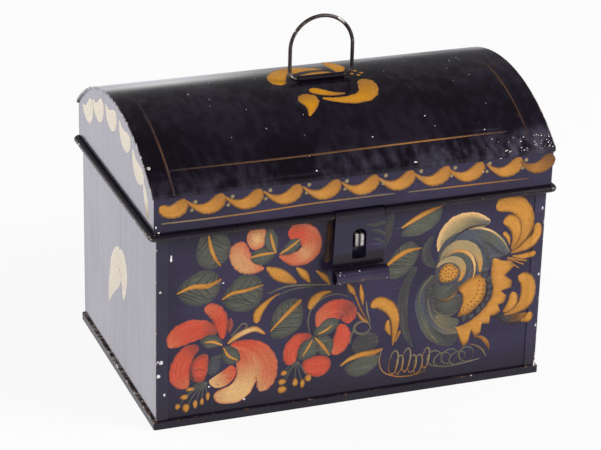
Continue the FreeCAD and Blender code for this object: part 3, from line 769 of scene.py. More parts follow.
class TRUNK_OT_paint_peach_flower(TrunkOperator):
    """Paint the pale flower under the rim, its three small leaves and the gold buds beside it"""
    bl_idname = "tin_trunk.paint_peach_flower"
    bl_label = "Paint the peach flower"

    def execute(self, context):
        marks = [
            patch([(-65, 115), (-60, 117.5), (-54.5, 116), (-53.5, 108), (-57, 104), (-62, 104), (-65, 108)],
                  ("cream", "peach", "salmon")),
            stroke([(-68.5, 110, 11), (-69.5, 102, 13), (-66.5, 96.5, 13), (-61, 93, 9), (-55, 91.5, 2)],
                   ("salmon", "peach", "peach", "salmon"), left="salmon", rim="dusky"),
            stroke([(-41, 112, 12), (-33, 110.5, 14), (-27, 106, 13), (-27.5, 99, 13), (-33, 95.5, 11),
                    (-40, 95.5, 7), (-46, 98, 1.5)], ("red", "red", "salmon", "peach", "salmon", "salmon"),
                   left="salmon", rim="dusky"),
            stroke([(-52, 116, 4), (-51, 108, 9), (-48, 100, 2)], ("leaf",), rim="moss", layer=1),
            stroke([(-51.5, 113, 1), (-50, 106, 2), (-48, 100, 1)], ("gold",), layer=2),
            patch([(-64.5, 99), (-60, 104), (-53, 104.5), (-48, 101), (-51, 96), (-57, 93.5), (-62, 95)],
                  ("leaf", "leaf", "moss"), layer=1),
            stroke([(-63.5, 99.5, 0.8), (-56, 100.5, 2), (-48.5, 100.5, 0.8)], ("gold",), layer=2),
            patch([(-46, 98.5), (-42, 105), (-37, 108.5), (-32.5, 108), (-34, 102), (-39, 98.5)],
                  ("leaf", "leaf", "moss"), layer=1),
            stroke([(-46, 99, 0.8), (-40, 102.5, 1.8), (-33.5, 107, 0.8)], ("gold",), layer=2),
            comma([(-53.5, 92, 2), (-48, 88, 7.5), (-41, 83.5, 7), (-35, 80, 1.5)]),
            comma([(-35.5, 89.5, 1.5), (-31, 85, 5.2), (-27, 79, 1.5)]),
            comma([(-23.5, 86, 1), (-18.5, 81.5, 3.8), (-14.5, 76, 1)]),
            stroke([(-52.5, 75.5, 0.9), (-41, 78.5, 1.2), (-30.5, 78, 1.2), (-14.5, 76, 0.7)], ("leaf", "olive")),
            stroke([(-47, 73.5, 0.7), (-37, 76.3, 0.9), (-24, 76, 0.6)], ("leaf",)),
            comma([(-59, 58, 4), (-58, 64, 6), (-54, 69, 4), (-49, 73, 1.5), (-45, 75, 0.5)]),
            comma([(-27, 62, 4), (-24, 67.5, 6.5), (-19, 71, 4), (-13.5, 71.5, 1)]),
            stroke([(-26.5, 47, 0.7), (-27.5, 55, 0.9), (-25.5, 62.5, 0.9), (-19, 68, 0.9), (-10.5, 69.5, 0.9),
                    (-3.5, 67, 0.6)], ("leaf", "olive", "leaf"), layer=1),
        ]
        lay("peach_flower_painting", "box", front_panel, marks)
        return {"FINISHED"}


class TRUNK_OT_paint_red_flowers(TrunkOperator):
    """Paint the two red flowers, their slate and green leaves and their centres"""
    bl_idname = "tin_trunk.paint_red_flowers"
    bl_label = "Paint the red flowers"

    def execute(self, context):
        marks = [
            # Large flower
            stroke([(-82, 56, 6), (-90, 58.5, 12), (-99, 58.5, 15), (-106.5, 55, 13), (-111, 50.5, 7)],
                   ("dusky", "red", "red", "salmon"), rim="dusky"),
            stroke([(-79, 51, 3), (-79.5, 58, 7), (-81, 65, 9.5), (-85, 70, 9), (-90, 72, 6)],
                   ("red", "red", "salmon"), rim="dusky", layer=0.5),
            stroke([(-93, 48, 5), (-99, 45.5, 10), (-103.5, 38, 12.5), (-104, 30, 12.5), (-100, 23, 6)],
                   ("dusky", "red", "red", "salmon"), rim="dusky"),
            patch([(-97, 39), (-93.5, 42.5), (-88, 43), (-87, 37), (-88, 30), (-90, 26), (-94, 25.5), (-97, 30),
                   (-97.5, 35)], ("red", "red", "dusky"), layer=1),
            stroke([(-89.5, 43.5, 0.5), (-94, 42, 0.9), (-97.5, 37.5, 1.2), (-98, 30, 1.1), (-95, 25.5, 0.5)],
                   ("umber", "dusky", "umber"), layer=2),
            stroke([(-96.5, 35.5, 0.4), (-94.5, 33.5, 0.7), (-92.5, 34.5, 0.7), (-91, 33, 0.6), (-88.5, 33.5, 0.4)],
                   ("dusky",), layer=2),
            stroke([(-75.3, 54.5, 1), (-74.5, 59, 3.8), (-74.5, 63.5, 1.5)], ("dusky",), layer=1),
            stroke([(-74, 46.5, 4), (-65, 44, 10), (-57, 38.5, 15), (-52.5, 29, 15), (-53, 20, 12), (-56, 14, 6)],
                   ("red", "red", "salmon", "salmon", "peach"), right="peach", rim="dusky"),
            stroke([(-70, 43, 7), (-65, 34, 12), (-64.5, 24, 13), (-69, 16.5, 14), (-77, 14.5, 11), (-84, 15.5, 7)],
                   ("red", "salmon", "peach", "cream", "cream", "peach"), rim="salmon", layer=1),
            patch([(-79, 30.5), (-72.5, 33.5), (-70.5, 30), (-72, 24.5), (-76.5, 21), (-83.5, 20.5), (-87, 25.5),
                   (-83.5, 28)], ("cream", "peach", "salmon", "red"), layer=2, side=25),
            stroke([(-76, 47.5, 1.5), (-72, 50.5, 3.5), (-65.5, 53.5, 4), (-60, 54.5, 4), (-53.5, 50.5, 1.5)],
                   ("gold", "cream", "gold"), rim="umber", layer=1),
            stroke([(-74, 52, 0.7), (-70, 56, 0.8), (-67, 59, 0.8), (-64.5, 57.5, 0.8), (-66.5, 55, 0.6)],
                   ("olive",), layer=1),
            patch([(-92.5, 51.5), (-88, 55.5), (-82, 53.5), (-79, 48), (-84, 46), (-90, 47.5)],
                  ("leaf", "leaf", "moss"), layer=2),
            stroke([(-90, 50.5, 0.8), (-84.5, 50, 2), (-79, 47, 0.8)], ("gold",), layer=3),
            patch([(-78.5, 46), (-72.5, 45.5), (-67.5, 40), (-67.5, 35.5), (-72.5, 33.5), (-78, 36), (-79.5, 41.5)],
                  ("leaf", "leaf", "moss"), layer=3),
            stroke([(-78.5, 45.5, 0.8), (-75.5, 40, 1.8), (-69.5, 36, 0.8)], ("gold",), layer=4),
            patch([(-80, 42), (-86, 40), (-88, 34), (-86, 28.5), (-82, 30), (-80, 36)], ("slate", "moss"), layer=2),
            # Middle flower
            stroke([(-21, 49, 4), (-18.5, 57, 10), (-11, 60, 13), (-3.5, 56.5, 13), (-2.5, 49.5, 6)],
                   ("salmon", "salmon", "red", "dusky", "red"), rim="dusky"),
            stroke([(-25, 45, 3), (-33, 44, 8), (-37.5, 38, 9.5), (-37.5, 31, 8), (-36.5, 28, 5)],
                   ("dusky", "red", "red", "red"), rim="dusky"),
            patch([(-30.5, 29), (-21.5, 32), (-13, 28.5), (-12.5, 23.5), (-15.5, 19), (-20, 17.5), (-26, 19.5),
                   (-30, 22.5)], ("red", "red", "red", "dusky")),
            stroke([(-7.5, 50, 5), (-6, 42, 11), (-8, 35.5, 10), (-12, 31, 5)], ("red", "red", "salmon"), rim="dusky"),
            patch([(-24, 45), (-22.5, 50), (-18.5, 54), (-13, 55.5), (-9, 53.5), (-8.5, 49.5), (-11.5, 46),
                   (-17, 43.5)], ("leaf", "leaf", "moss"), layer=1),
            stroke([(-21.5, 45.5, 0.8), (-17, 47, 1.6), (-12.5, 50, 0.8)], ("gold",), layer=2),
            patch([(-23.5, 45), (-29, 43), (-33.5, 37), (-33, 30.5), (-26, 30), (-20.5, 34), (-20, 40)],
                  ("leaf", "leaf", "moss"), layer=1),
            stroke([(-24.5, 42.5, 0.8), (-27, 38, 1.6), (-30.5, 32.5, 0.7)], ("gold",), layer=2),
            patch([(-22.5, 44), (-16, 44), (-11.5, 40.5), (-11.5, 33), (-14, 30), (-19, 31.5), (-22.5, 37)],
                  ("moss", "leaf", "moss"), layer=0.8),
            stroke([(-23, 43.5, 1), (-18.5, 38, 3), (-13.5, 30.5, 1)], ("gold", "brown"), rim="umber", layer=2),
        ]
        lay("red_flower_painting", "box", front_panel, marks)
        return {"FINISHED"}


class TRUNK_OT_paint_sprays(TrunkOperator):
    """Paint the seed buds, twigs, tendrils and small commas between the flowers"""
    bl_idname = "tin_trunk.paint_sprays"
    bl_label = "Paint the sprays"

    def execute(self, context):
        first = [(-98, 22, 6, 2.5), (-101.5, 17.5, 5.5, 3.5), (-105.5, 12, 3.5, 4), (-100.5, 10.5, 4.5, 6),
                 (-95, 12, 3, 6), (-91, 13, 2.5, 5), (-87.5, 16, 2.5, 6)]
        second = [(-41.5, 23.5, 4.5, 3.5), (-42.5, 18, 5.5, 4), (-42.5, 13, 6, 5), (-34.5, 16.5, 3.5, 6),
                  (-30, 15, 3, 6.5), (-26.5, 18, 4.5, 5)]
        marks = []
        for buds, root in ((first, (-88, 25)), (second, (-33, 30))):
            for x, z, w, t in buds:
                marks.append(stroke([(*root, 0.8), ((root[0] + x) / 2 - 0.8, (root[1] + z) / 2 + 1.2, 0.8),
                                     (x, z, 0.5)], ("leaf",), rows=16, columns=5))
                marks.append(dot(x, z, w, t, ("gold", "gold", "umber"), layer=1, size=9))
        marks += [
            comma([(-4, 75, 1.5), (-1.5, 71, 4), (1, 67, 1)]),
            comma([(4, 73.5, 1), (5, 67, 3.2), (6, 60, 0.8)]),
            stroke([(1, 67, 1), (4.5, 58, 1.1), (9.5, 49, 0.8)], ("brown", "umber")),
            stroke([(8, 62, 0.8), (9, 55, 1), (11, 48, 0.6)], ("olive",)),
            stroke([(2.5, 56, 1), (6, 51, 2), (10, 48, 0.6)], ("brown",), layer=1),
            stroke([(-1, 36, 0.8), (-0.5, 42, 1), (1.2, 45.5, 0.8)], ("leaf", "olive"), columns=5),
            ring(6, 45.5, 5.0, 3.9, -8, ("leaf", "olive"), turns=2),
            comma([(11, 58, 5), (15, 60, 8), (21, 57.5, 8.5), (26, 50, 7), (26.5, 40, 4), (25.5, 31, 0.8)]),
            comma([(22, 48, 2), (22, 43, 4), (24, 38, 1)], layer=2),
            stroke([(30, 40, 2), (27, 33, 1)], ("brown",), layer=0, rows=20),
            stroke([(77, 29, 0.8), (82, 28, 2), (86, 24, 2.6), (88, 19, 0.7)], ("umber", "brown", "umber"), layer=2),
            stroke([(74, 25, 0.6), (79, 23, 1), (83.5, 19.5, 1.2), (86, 15, 0.5)], ("umber", "olive"), layer=2),
            stroke([(19, 30, 0.8), (17.5, 23, 0.9), (20, 15, 0.9), (26.5, 11, 0.9), (38, 9.5, 0.9), (48, 11.5, 0.5)],
                   ("olive", "brown", "umber"), columns=5),
            stroke([(50, 14, 0.6), (60, 12, 0.9), (70, 12.5, 0.9), (82, 14, 0.6)], ("leaf", "olive"), columns=5),
        ]
        for x, z, wide, tall in ((26.5, 19.5, 2.6, 7.5), (30.5, 18, 2.2, 6), (34.5, 20.5, 2.6, 8), (38.5, 17, 2.4, 5.5),
                                 (42.5, 16.5, 2.6, 6.5), (47, 20, 2.2, 7)):
            marks.append(ring(x, z, wide, tall, -8, ("brown", "tan", "olive", "umber", "brown"), layer=1))
        for x, z, wide, tall in ((52.5, 18.5, 4.5, 5), (57.5, 17, 5, 4), (62.5, 18.5, 5, 4.5), (67.5, 17, 5.5, 4),
                                 (73, 18.5, 5, 5)):
            marks.append(ring(x, z, wide, tall, 20, ("moss", "leaf", "olive", "moss"), layer=1.5))
        lay("spray_painting", "box", front_panel, marks)
        return {"FINISHED"}


class TRUNK_OT_paint_gold_flower(TrunkOperator):
    """Paint the large gold and slate flower and its scalloped fruit"""
    bl_idname = "tin_trunk.paint_gold_flower"
    bl_label = "Paint the gold flower"

    def execute(self, context):
        disc = np.array([59.0, 73.0])

        def band(radius, width, names, first=132, last=-32, layer=2.0):
            """A band round the disc from the first to the last angle, pointed at both ends. It starts near the disc
            and swings out to its radius in the first two thirds."""
            part = np.linspace(0, 1, 9)
            turn = np.radians(first + (last - first) * part)
            reach = 9 + (radius - 9) * np.sin(np.minimum(part * 1.5, 1) * np.pi / 2)
            swell = width * (0.25 + 0.75 * np.sin(np.pi * part))
            return stroke(np.c_[disc[0] + reach * np.cos(turn), disc[1] + reach * np.sin(turn), swell], names,
                          layer=layer)

        marks = [
            patch([(49, 76), (42, 67), (40, 55), (43, 42), (50, 31), (60, 25), (68, 27), (67, 35), (60, 44), (56, 54),
                   (54, 66)], ("moss",), layer=-0.5),
            patch([(51, 84), (58, 94), (73, 98), (88, 92), (96, 81), (89, 76), (84, 70), (80, 66), (66, 62),
                   (57, 63), (50, 70)], ("moss", "slate", "moss"), layer=-0.5),
            stroke([(49, 73, 4), (44, 65, 7), (42.5, 57, 8), (44.5, 46, 8), (49.5, 36, 8), (57, 29, 6), (65, 26, 2)],
                   ("moss", "slate", "leaf", "moss"), left="moss"),
            stroke([(47, 60, 4), (48.5, 50, 8), (54, 41, 9), (61, 36.5, 8), (68, 34, 3)], ("moss", "slate", "olive"),
                   left="moss", layer=1),
            stroke([(49, 73, 0.8), (43, 66, 1.2), (41, 58, 1.3), (43, 46, 1.3), (49, 35, 1.2), (54, 29, 0.7)],
                   ("olive", "leaf", "olive"), layer=2),
            stroke([(46.5, 59, 0.7), (48, 50, 1.1), (54, 40, 1.1), (63, 35, 0.7)], ("olive",), layer=3),
            stroke([(52, 47, 3), (57, 41.5, 8), (63, 40, 8), (67, 41.5, 3)], ("olive", "leaf"), layer=2),
            patch([(51, 51), (50, 56), (57, 57.5), (64, 60), (68, 57), (69, 51), (64, 46.5), (56, 46)],
                  ("leaf", "moss"), layer=3),
            stroke([(51, 50, 0.6), (55.5, 46.5, 1), (61.5, 45.5, 1), (66.5, 48, 0.6)], ("olive", "leaf"), layer=4),
            stroke([(54, 86, 6), (55.5, 95, 10), (61, 102, 12.5), (70, 105, 11), (79, 103, 8), (84, 102, 3)],
                   ("olive", "tan", "tan", "olive", "slate"), left="cream", right="olive"),
            stroke([(57, 86, 3), (64, 92, 8), (74, 94.5, 10), (84, 92, 10), (91, 86, 9), (96, 80, 3)],
                   ("slate", "slate", "leaf", "slate"), right="moss", layer=1),
            stroke([(58, 90.5, 0.7), (64, 97, 0.9), (74, 101, 0.9), (83, 100.5, 0.5)], ("night",), layer=2.5),
            stroke([(70, 99.3, 0.7), (77, 99.2, 1.3), (86, 95.5, 1.3), (93, 88.5, 1.3), (97.5, 81, 0.8)],
                   ("olive", "cream", "tan", "olive"), layer=2.5),
            band(25.5, 6.5, ("moss", "slate", "moss"), 130, 8, 1.5),
            band(20.0, 7.0, ("olive", "tan", "tan", "gold"), 130, -6),
            band(13.0, 5.2, ("slate", "leaf", "slate"), 130, -30, 2.5),
            band(16.4, 2.2, ("olive", "gold", "cream", "gold"), 120, -25, 3.5),
            band(9.0, 5.4, ("tan", "tan", "gold"), 150, -45, 3),
            stroke([(50.5, 68, 3), (53, 62.5, 8), (59, 60.5, 8.5), (65, 64.5, 4)], ("moss", "leaf", "moss"), layer=4),
            dot(*disc, 13.5, 13, ("gold", "gold", "gold", "umber"), layer=3.5, size=13),
            stroke([(50.5, 59, 0.5), (54.5, 56.5, 1), (59, 56, 1.2), (62.5, 58, 1.1), (66, 62, 0.5)],
                   ("moss", "umber", "brown", "umber"), layer=5),
        ]
        for count, radius in ((13, 4.7), (8, 2.5), (1, 0.0)):
            for turn in np.arange(count) * 2 * np.pi / count:
                marks.append(dot(disc[0] + radius * np.cos(turn), disc[1] + radius * np.sin(turn), 1.2,
                                 names=("umber",), layer=7, size=5))
        inside = [(86.5, 78), (86, 70), (86.5, 64), (88, 60), (87.5, 54), (84, 48), (80, 44), (76, 41), (70, 38),
                  (65, 37)]
        scallops = [(88, 79), (93, 76.5), (99.5, 75.5), (101, 71.5), (95.5, 66.5), (100.5, 62.5), (100, 58),
                    (93.5, 56.5), (97.5, 53), (96, 48.5), (92, 47.5), (94, 43.5), (90.5, 41), (87.5, 41), (87, 36),
                    (82, 36.5), (81.5, 30.5), (78, 28.5), (75, 33.5), (74, 26), (71, 23), (68.5, 27), (66, 35.5),
                    (64, 37.5)]
        marks += [
            field(inside, scallops, ("brown", "gold", "gold", "gold", "umber"), layer=3.6),
            patch([(65, 62), (70, 67), (77, 70), (83, 69), (84, 60), (82.5, 53), (78, 48), (72, 44), (66, 43.5),
                   (68.5, 52), (68, 58)], ("gold", "gold", "gold", "umber"), layer=4),
        ]
        for x, z in ((82, 68.5), (84.5, 65), (85.5, 61), (85.5, 56.5), (84.5, 53), (82, 49), (79, 46), (74.5, 42.5),
                     (70, 42)):
            marks.append(dot(x, z, 5.0, names=("slate", "moss", "night"), layer=6, size=7))
        for rows, number in (([(82, 62, 1), (80.5, 55, 1), (76, 50, 1), (67.5, 47, 1)], 10),
                             ([(79, 65.5, 1), (77.5, 57, 1), (74.5, 52.5, 1), (70, 49.5, 1)], 8)):
            path, at = smooth(rows, 60)
            for place in np.linspace(0, at[-1], number):
                spot = path[np.searchsorted(at, place)]
                marks.append(dot(spot[0], spot[1], 1.3, names=("umber",), layer=8, size=5))
        lay("gold_flower_painting", "box", front_panel, marks)
        return {"FINISHED"}


class TRUNK_OT_paint_acanthus(TrunkOperator):
    """Paint the curled gold leaves at the right of the front"""
    bl_idname = "tin_trunk.paint_acanthus"
    bl_label = "Paint the gold scrolls"

    def execute(self, context):
        marks = [
            stroke([(90, 41, 3), (97, 37.5, 6), (106, 37, 7), (112, 39, 3)], ("night", "moss", "umber", "brown"),
                   right="night", layer=-0.5),
            comma([(87, 110, 9), (93, 112.5, 11), (101, 110.5, 12), (106.5, 103, 10), (107, 94, 8), (103.5, 87, 4),
                   (98.5, 82, 1)]),
            comma([(92, 101, 7), (97, 101, 9), (100.5, 96, 8), (100.5, 89, 5), (98, 83, 1)], layer=1),
            comma([(92.5, 94.5, 3), (95.5, 91, 3), (97, 86, 0.8)], layer=2),
            comma([(114, 98, 5), (114, 91, 6.5), (109, 85, 7), (103, 82, 4), (98, 80.5, 1)]),
            comma([(114, 79, 4), (107, 77.5, 4), (99, 78.5, 1)]),
            stroke([(109, 74, 1), (102, 76, 1.2), (96, 78, 0.6)], ("brown",)),
            stroke([(107, 72, 0.8), (101, 75, 0.9), (96, 78, 0.6)], ("brown",)),
            stroke([(104, 70, 0.8), (99, 74, 0.8), (96, 77.5, 0.6)], ("brown",)),
            comma([(104, 65, 6), (109, 62, 9), (111, 54, 10), (109, 47, 9), (103, 42.5, 5), (96, 40.5, 1)]),
            comma([(101, 55, 5), (101.5, 49, 7), (99, 45, 6), (95.5, 42.5, 2)], layer=1),
            comma([(113, 40.5, 4), (112, 37, 6), (107.5, 35, 1.5)]),
        ]
        lay("acanthus_painting", "box", front_panel, marks)
        return {"FINISHED"}


class TRUNK_OT_paint_ends(TrunkOperator):
    """Paint the commas on the box's left end and the row of swags under the lid's arch"""
    bl_idname = "tin_trunk.paint_ends"
    bl_label = "Paint the left end"

    def execute(self, context):
        marks = [
            stroke([(4.5, 82, 9), (9, 75, 16), (11.5, 66, 14), (11.5, 58, 8), (10, 52, 2)], ("ivory",)),
            stroke([(2.5, 81.5, 8), (-1, 73, 17), (-5.5, 64, 22), (-12, 54.5, 15), (-17.5, 44, 7), (-19.5, 38, 2)],
                   ("ivory",), layer=0.5),
            stroke([(-5, 67, 0.5), (0.5, 69, 0.7), (5, 66.5, 0.7), (6.5, 60, 0.5)], ("ivory", "tan", "ivory"),
                   layer=1.5),
        ]
        lay("box_end_painting", "box", box_end_panel, marks)
        marks = []
        for across, up in ((45, 148.5), (20, 157.5), (-7, 159.5), (-33, 155), (-55, 146)):
            lean = -math.atan2(across, 110)
            marks.append(stroke([(across + a * math.cos(lean) - b * math.sin(lean),
                                  up + a * math.sin(lean) + b * math.cos(lean), w)
                                 for a, b, w in ((-11, 5, 2), (-6, 0, 9), (1, -1.5, 13), (8, 3, 10), (10, 6, 7))],
                                ("ivory",)))
        marks.append(stroke([(56, 146, 2), (59.5, 140, 6), (63, 133, 7), (66, 127, 3)], ("ivory", "ivory", "tan")))
        lay("lid_end_painting", "lid", lid_end_panel, marks)
        return {"FINISHED"}


# ---------------------------------------------------------------- painting on the lid

class TRUNK_OT_paint_swags(TrunkOperator):
    """Paint the row of swags, dot pairs and the thin line along the lid's front"""
    bl_idname = "tin_trunk.paint_swags"
    bl_label = "Paint the swags"

    def execute(self, context):
        marks = [stroke([(-117, 138, 6), (-112, 134.5, 8), (-106, 135.5, 10), (-102.5, 141, 7)],
                        ("gold", "gold", "brown"), rim="umber")]
        for x in (-88, -66, -43, -20, 3, 25, 47, 68, 92, 112):
            faded = ("brown", "gold", "brown") if x < 100 else ("umber", "brown", "umber")
            marks.append(stroke([(x - 14, 140, 1), (x - 9, 136, 3.5), (x - 2.5, 133.9, 7.5), (x + 3.5, 135.8, 9.5),
                                 (x + 7.5, 141.5, 8)], faded, rim="umber"))
        for x, z, dx in ((-96.5, 138.5, -2), (-75, 139, -2.5), (-53, 140, -2.5), (-30, 140.5, -1.5), (-7.5, 140, -1),
                         (16, 140.5, -1.5), (37.5, 140.5, 0.5), (58.5, 140, -2), (80, 140, -1.5), (103, 139.5, -2)):
            marks += [dot(x, z, 2.6, names=("tan", "olive"), layer=1),
                      dot(x + dx, z - 4.7, 2.2, names=("tan", "olive"), layer=1)]
        marks += [
            stroke([(-116, 127.8, 0.9), (-90, 127.6, 1), (-60, 127.9, 1), (-30, 128.8, 1), (0, 128.9, 0.9),
                    (22, 128.7, 0.6)], ("olive", "brown", "olive"), rows=90, columns=5),
            stroke([(30, 128.6, 0.7), (70, 128.2, 1), (106, 127.8, 0.7)], ("olive", "brown", "umber"), rows=60,
                   columns=5),
        ]
        lay("swag_painting", "lid", apron_panel, marks)
        return {"FINISHED"}


class TRUNK_OT_paint_hasp(TrunkOperator):
    """Paint the faded touches of green and grey on the hasp"""
    bl_idname = "tin_trunk.paint_hasp"
    bl_label = "Paint the hasp"

    def execute(self, context):
        marks = [
            stroke([(4, 113, 1), (9, 112.5, 2.5), (15.5, 113.5, 1.5)], ("moss",)),
            stroke([(6.5, 109.5, 1), (11, 108.5, 2.5), (15.5, 106, 1.5)], ("moss",), layer=0.5),
            stroke([(8, 104, 0.8), (12, 103, 1.6), (15.5, 100, 0.8)], ("moss",)),
        ]
        lay("hasp_painting", "hasp", plate_panel, marks)
        return {"FINISHED"}


class TRUNK_OT_paint_dome(TrunkOperator):
    """Paint the gold commas round the bail and the thin line round the dome"""
    bl_idname = "tin_trunk.paint_dome"
    bl_label = "Paint the dome"

    def execute(self, context):
        shift = 5.0
        commas = [
            [(-17, 46, 1), (-13.5, 39, 6), (-12.5, 32, 12), (-14.5, 25, 11)],
            [(-4, 31, 2), (4, 34, 5), (14, 35, 8.5), (23, 32, 11), (27, 23, 11.5), (27, 14, 8)],
            [(-8, 20, 7), (-3, 24, 7), (4, 27.5, 4), (11, 28.5, 1)],
            [(-22, 11, 8), (-21.5, 2, 11), (-17, -8, 11), (-11, -17, 9), (-6, -24, 3)],
            [(18, 1, 4), (20, -8, 9), (19.5, -18, 8), (22, -38, 3)],
        ]
        fields = [
            [(-8.5, -5), (-2, -8), (11, -9), (1.5, -18), (-5.5, -24)],
            [(-7, 0), (1.5, 5), (4.5, 8.5), (18, 9), (16.5, 3.5), (9.5, -4), (1.5, -4)],
        ]
        gold = ("yellow", "yellow", "brown")
        marks = [stroke([(x, shift - s, w) for x, s, w in rows], gold, rim="brown") for rows in commas]
        marks += [patch([(x, shift - s) for x, s in ring], ("yellow", "yellow", "yellow", "brown")) for ring in fields]
        marks += [dot(x, shift - s, 2.6, names=("yellow", "brown")) for x, s in ((24, 5), (27, 8), (30, 5), (27.5, 1))]
        marks += [
            stroke([(-109, -85, 1.6), (-109, -40, 1.5), (-109, 3, 1.2)], ("night", "umber", "night", "night"),
                   left="night", right="night", rows=60),
            stroke([(-108, -69, 1), (-40, -69.5, 1.3), (40, -69, 1.3), (95, -69, 1)],
                   ("night", "umber", "umber", "brown", "night"), left="night", rows=120),
            stroke([(107, -80, 0.8), (107, -30, 0.8), (107, 20, 0.7)], ("night", "umber", "night"), rows=60,
                   columns=5),
        ]
        lay("dome_painting", "lid", dome_panel, marks)
        return {"FINISHED"}


# ---------------------------------------------------------------- wear

class TRUNK_OT_chips(TrunkOperator):
    """Flake the varnish off in small chips down to the bright tin, with bright specks on the hasp's curl as painted
    highlights
    """
    bl_idname = "tin_trunk.chips"
    bl_label = "Chip the varnish"

    def execute(self, context):
        finish = settings().finish
        metal = bare_metal("chip_metal", linear(244, 242, 242), finish.tin, 0.45, 0.9, metallic=0.5)
        box = [(-109.5, 105, 1.2, 4.5), (-116, 85.5, 1.5, 1.5), (-115.5, 41.7, 2.6, 2.6), (-117.3, 42.3, 1.2, 1.4),
               (-117, 33.3, 2.2, 2.4), (-113.5, 21, 1.2, 2), (-73.7, 25.8, 1.4, 1.2), (-86.8, 21.8, 1.3, 1.1),
               (-65.5, 10.5, 1.5, 1.4), (-79, 86, 1.2, 1), (-40, 66, 1.1, 1), (116.5, 107, 1.2, 2.2),
               (117, 64.5, 1, 2), (117.3, 31, 1, 2.2)]
        lay("box_chips", "box", front_panel,
            [dot(x, z, w, t, ("cream",), size=7) for x, z, w, t in box], metal)
        lid = [(76, 135.5, 1.2, 1), (87, 142.5, 1.6, 1), (-119, 126, 1, 1.6), (-117.5, 122.5, 1.4, 1.2)]
        lay("apron_chips", "lid", apron_panel,
            [dot(x, z, w, t, ("cream",), size=7) for x, z, w, t in lid], metal)
        # Bright bare tin specks at the curl's ends: painted highlights that stand in for its glints, drawn as chips.
        curl = [(-14, 3, 0.5, 1.2), (-13.2, 4.5, 0.6, 0.7), (-14.3, -2.5, 0.5, 0.9), (-13, -4.5, 0.5, 1.2),
                (-11.5, 2.5, 0.4, 0.4), (-2, 4.2, 1.2, 0.4), (14.8, -3, 0.4, 0.8)]
        lay("curl_chips", "hasp", curl_panel,
            [dot(x, s, w, t, ("cream",), size=7) for x, s, w, t in curl], metal)
        dome = [(-25, 80, 1, 1), (34, 82, 2, 1), (14, 62, 0.9, 0.9), (50, 51, 1, 0.9), (-119, 66, 2, 2.4),
                (-78, 5, 1, 1), (-45, 47, 0.7, 0.7), (82, 66, 0.8, 0.8)]
        chance = np.random.default_rng(5)
        dome += [(119.5 - 40 * a * a, 83 - 10 * b * b, 0.25 + 0.9 * c * c, 0.3 + 0.3 * b)
                 for a, b, c in chance.random((64, 3))]
        dome += [(-110 + 215 * a, -15 + 90 * b, 0.3 + 0.3 * c, 0.4) for a, b, c in chance.random((24, 3))]
        lay("dome_chips", "lid", dome_panel,
            [dot(x, -s, w, t, ("cream",), size=7) for x, s, w, t in dome], metal)
        return {"FINISHED"}


# ---------------------------------------------------------------- studio

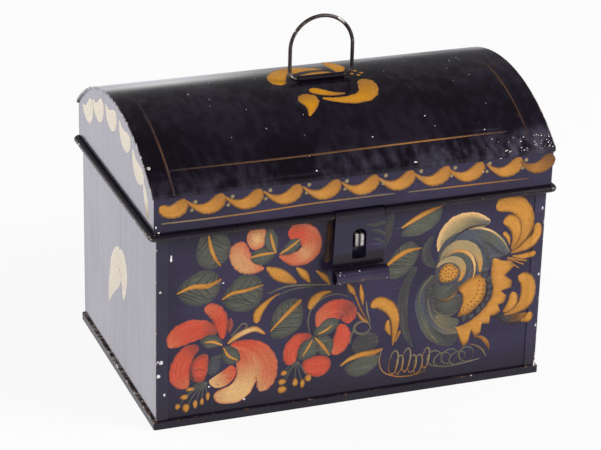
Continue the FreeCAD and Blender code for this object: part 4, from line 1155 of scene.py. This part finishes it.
class TRUNK_OT_stage(TrunkOperator):
    """Set up the white floor, the pale room, one large soft light and the camera"""
    bl_idname = "tin_trunk.stage"
    bl_label = "Set up the studio"

    def execute(self, context):
        studio = settings().studio
        scene = bpy.context.scene
        self.floor(studio)
        self.room(scene, studio)
        self.lamp("key_light", studio.key, (1.3, -0.9, 1.0), 0.9)
        self.lamp("side_light", studio.window, (-1.3, 0.8, 0.8), 0.8)
        scene.camera = self.camera(studio)
        scene.view_settings.view_transform = "Standard"
        return {"FINISHED"}

    def seen(self, g):
        """1 for rays from the camera, and for what gloss and glass show of the background."""
        return g.node("Math", {"operation": "MAXIMUM"}, {
            0: g.node("LightPath", {}, {}, out="Is Camera Ray"),
            1: g.node("LightPath", {}, {}, out="Is Glossy Ray") + g.node("LightPath", {}, {},
                                                                       out="Is Transmission Ray")})

    def floor(self, studio):
        """A white floor that keeps the trunk's shadow: part of its white glows, the rest is lit."""
        reach = 6.0
        mesh = bpy.data.meshes.new("studio_floor")
        mesh.from_pydata([(-reach, -reach, 0), (reach, -reach, 0), (reach, reach, 0), (-reach, reach, 0)], [],
                         [(0, 1, 2, 3)])
        material, g = new_material("studio_paper")
        white = (0.88, 0.88, 0.89, 1.0)
        paper = g.node("BsdfDiffuse", {}, {"Color": white})
        glossy = g.node("LightPath", {}, {}, out="Is Glossy Ray")
        tint = g.mix(glossy, (1.0, 1.0, 1.0, 1.0), (0.95, 0.93, 1.0, 1.0))
        glow = g.node("Emission", {}, {"Color": tint, "Strength": 1.0})
        both = g.node("MixShader", {}, {0: self.seen(g) * studio.floor_glow, 1: paper, 2: glow})
        g.node("OutputMaterial", {}, {"Surface": both})
        mesh.materials.append(material)
        floor = bpy.data.objects.new("studio_floor", mesh)
        bpy.context.collection.objects.link(floor)

    def room(self, scene, studio):
        """White behind the trunk. What lights it and shows in its gloss is pale near the floor, dim overhead, and
        dim at the back right, where a dark screen stands."""
        world = bpy.data.worlds.new("studio_room")
        world.use_nodes = True
        scene.world = world
        g = Graph(world.node_tree)
        way = g.node("TexCoord", {}, {}, out="Generated")
        rise = g.node("SeparateXYZ", {}, {"Vector": way}, out="Z")
        right = g.node("SeparateXYZ", {}, {"Vector": way}, out="X")
        back = g.node("SeparateXYZ", {}, {"Vector": way}, out="Y")
        screen = g.step(right, 0.29, 0.36) * g.step(back, 0.1, 0.4)
        pale = g.step(rise, 0.05, 0.22, 1.0, 0.0) * (1 - screen)
        light = pale * (studio.room - studio.ceiling) + studio.ceiling
        camera_ray = g.node("LightPath", {}, {}, out="Is Camera Ray")
        strength = light * (1 - camera_ray) + camera_ray
        sky = g.node("Background", {}, {"Color": (1.0, 1.0, 1.0, 1.0), "Strength": strength})
        g.node("OutputWorld", {}, {"Surface": sky})

    def lamp(self, name, power, place, size):
        """A soft square light aimed at the trunk."""
        data = bpy.data.lights.new(name, "AREA")
        data.energy = power
        data.size = size
        lamp = bpy.data.objects.new(name, data)
        lamp.location = place
        aim = Vector((0.0, 0.0, 0.09)) - Vector(place)
        lamp.rotation_euler = aim.to_track_quat("-Z", "Y").to_euler()
        bpy.context.collection.objects.link(lamp)

    def camera(self, studio):
        """A long lens: back points from the trunk to the camera, and the roll turns right towards up."""
        az, el = studio.azimuth, studio.elevation
        back = Vector((math.sin(az) * math.cos(el), -math.cos(az) * math.cos(el), math.sin(el)))
        level = Vector((math.cos(az), math.sin(az), 0.0))
        right = level * math.cos(studio.roll) + back.cross(level) * math.sin(studio.roll)
        data = bpy.data.cameras.new("camera")
        data.sensor_width = 36.0
        data.lens = studio.lens
        camera = bpy.data.objects.new("camera", data)
        turn = Matrix((right, back.cross(right), back)).transposed().to_4x4()
        camera.matrix_world = Matrix.Translation(studio.place) @ turn
        bpy.context.collection.objects.link(camera)
        return camera


OPERATORS = (TRUNK_OT_finish_box, TRUNK_OT_finish_lid, TRUNK_OT_finish_latch, TRUNK_OT_finish_bail,
             TRUNK_OT_paint_leaves, TRUNK_OT_paint_peach_flower, TRUNK_OT_paint_red_flowers, TRUNK_OT_paint_sprays,
             TRUNK_OT_paint_gold_flower, TRUNK_OT_paint_acanthus, TRUNK_OT_paint_ends, TRUNK_OT_paint_swags,
             TRUNK_OT_paint_hasp, TRUNK_OT_paint_dome, TRUNK_OT_chips, TRUNK_OT_stage)
GROUPS = (TRUNK_PG_paints, TRUNK_PG_brush, TRUNK_PG_finish, TRUNK_PG_studio, TRUNK_PG_settings)


class TRUNK_PT_panel(bpy.types.Panel):
    """The trunk's steps in the sidebar"""
    bl_label = "Tin Trunk"
    bl_idname = "TRUNK_PT_panel"
    bl_space_type = "VIEW_3D"
    bl_region_type = "UI"
    bl_category = "Tin Trunk"

    def draw(self, context):
        for operator in OPERATORS:
            self.layout.operator(operator.bl_idname)


def register():
    for item in (*GROUPS, *OPERATORS, TRUNK_PT_panel):
        bpy.utils.register_class(item)
    bpy.types.Scene.tin_trunk = PointerProperty(type=TRUNK_PG_settings)


def unregister():
    del bpy.types.Scene.tin_trunk
    for item in reversed((*GROUPS, *OPERATORS, TRUNK_PT_panel)):
        bpy.utils.unregister_class(item)


def main():
    register()
    for operator in OPERATORS:
        group, name = operator.bl_idname.split(".")
        getattr(getattr(bpy.ops, group), name)()


if __name__ == "__main__":
    main()
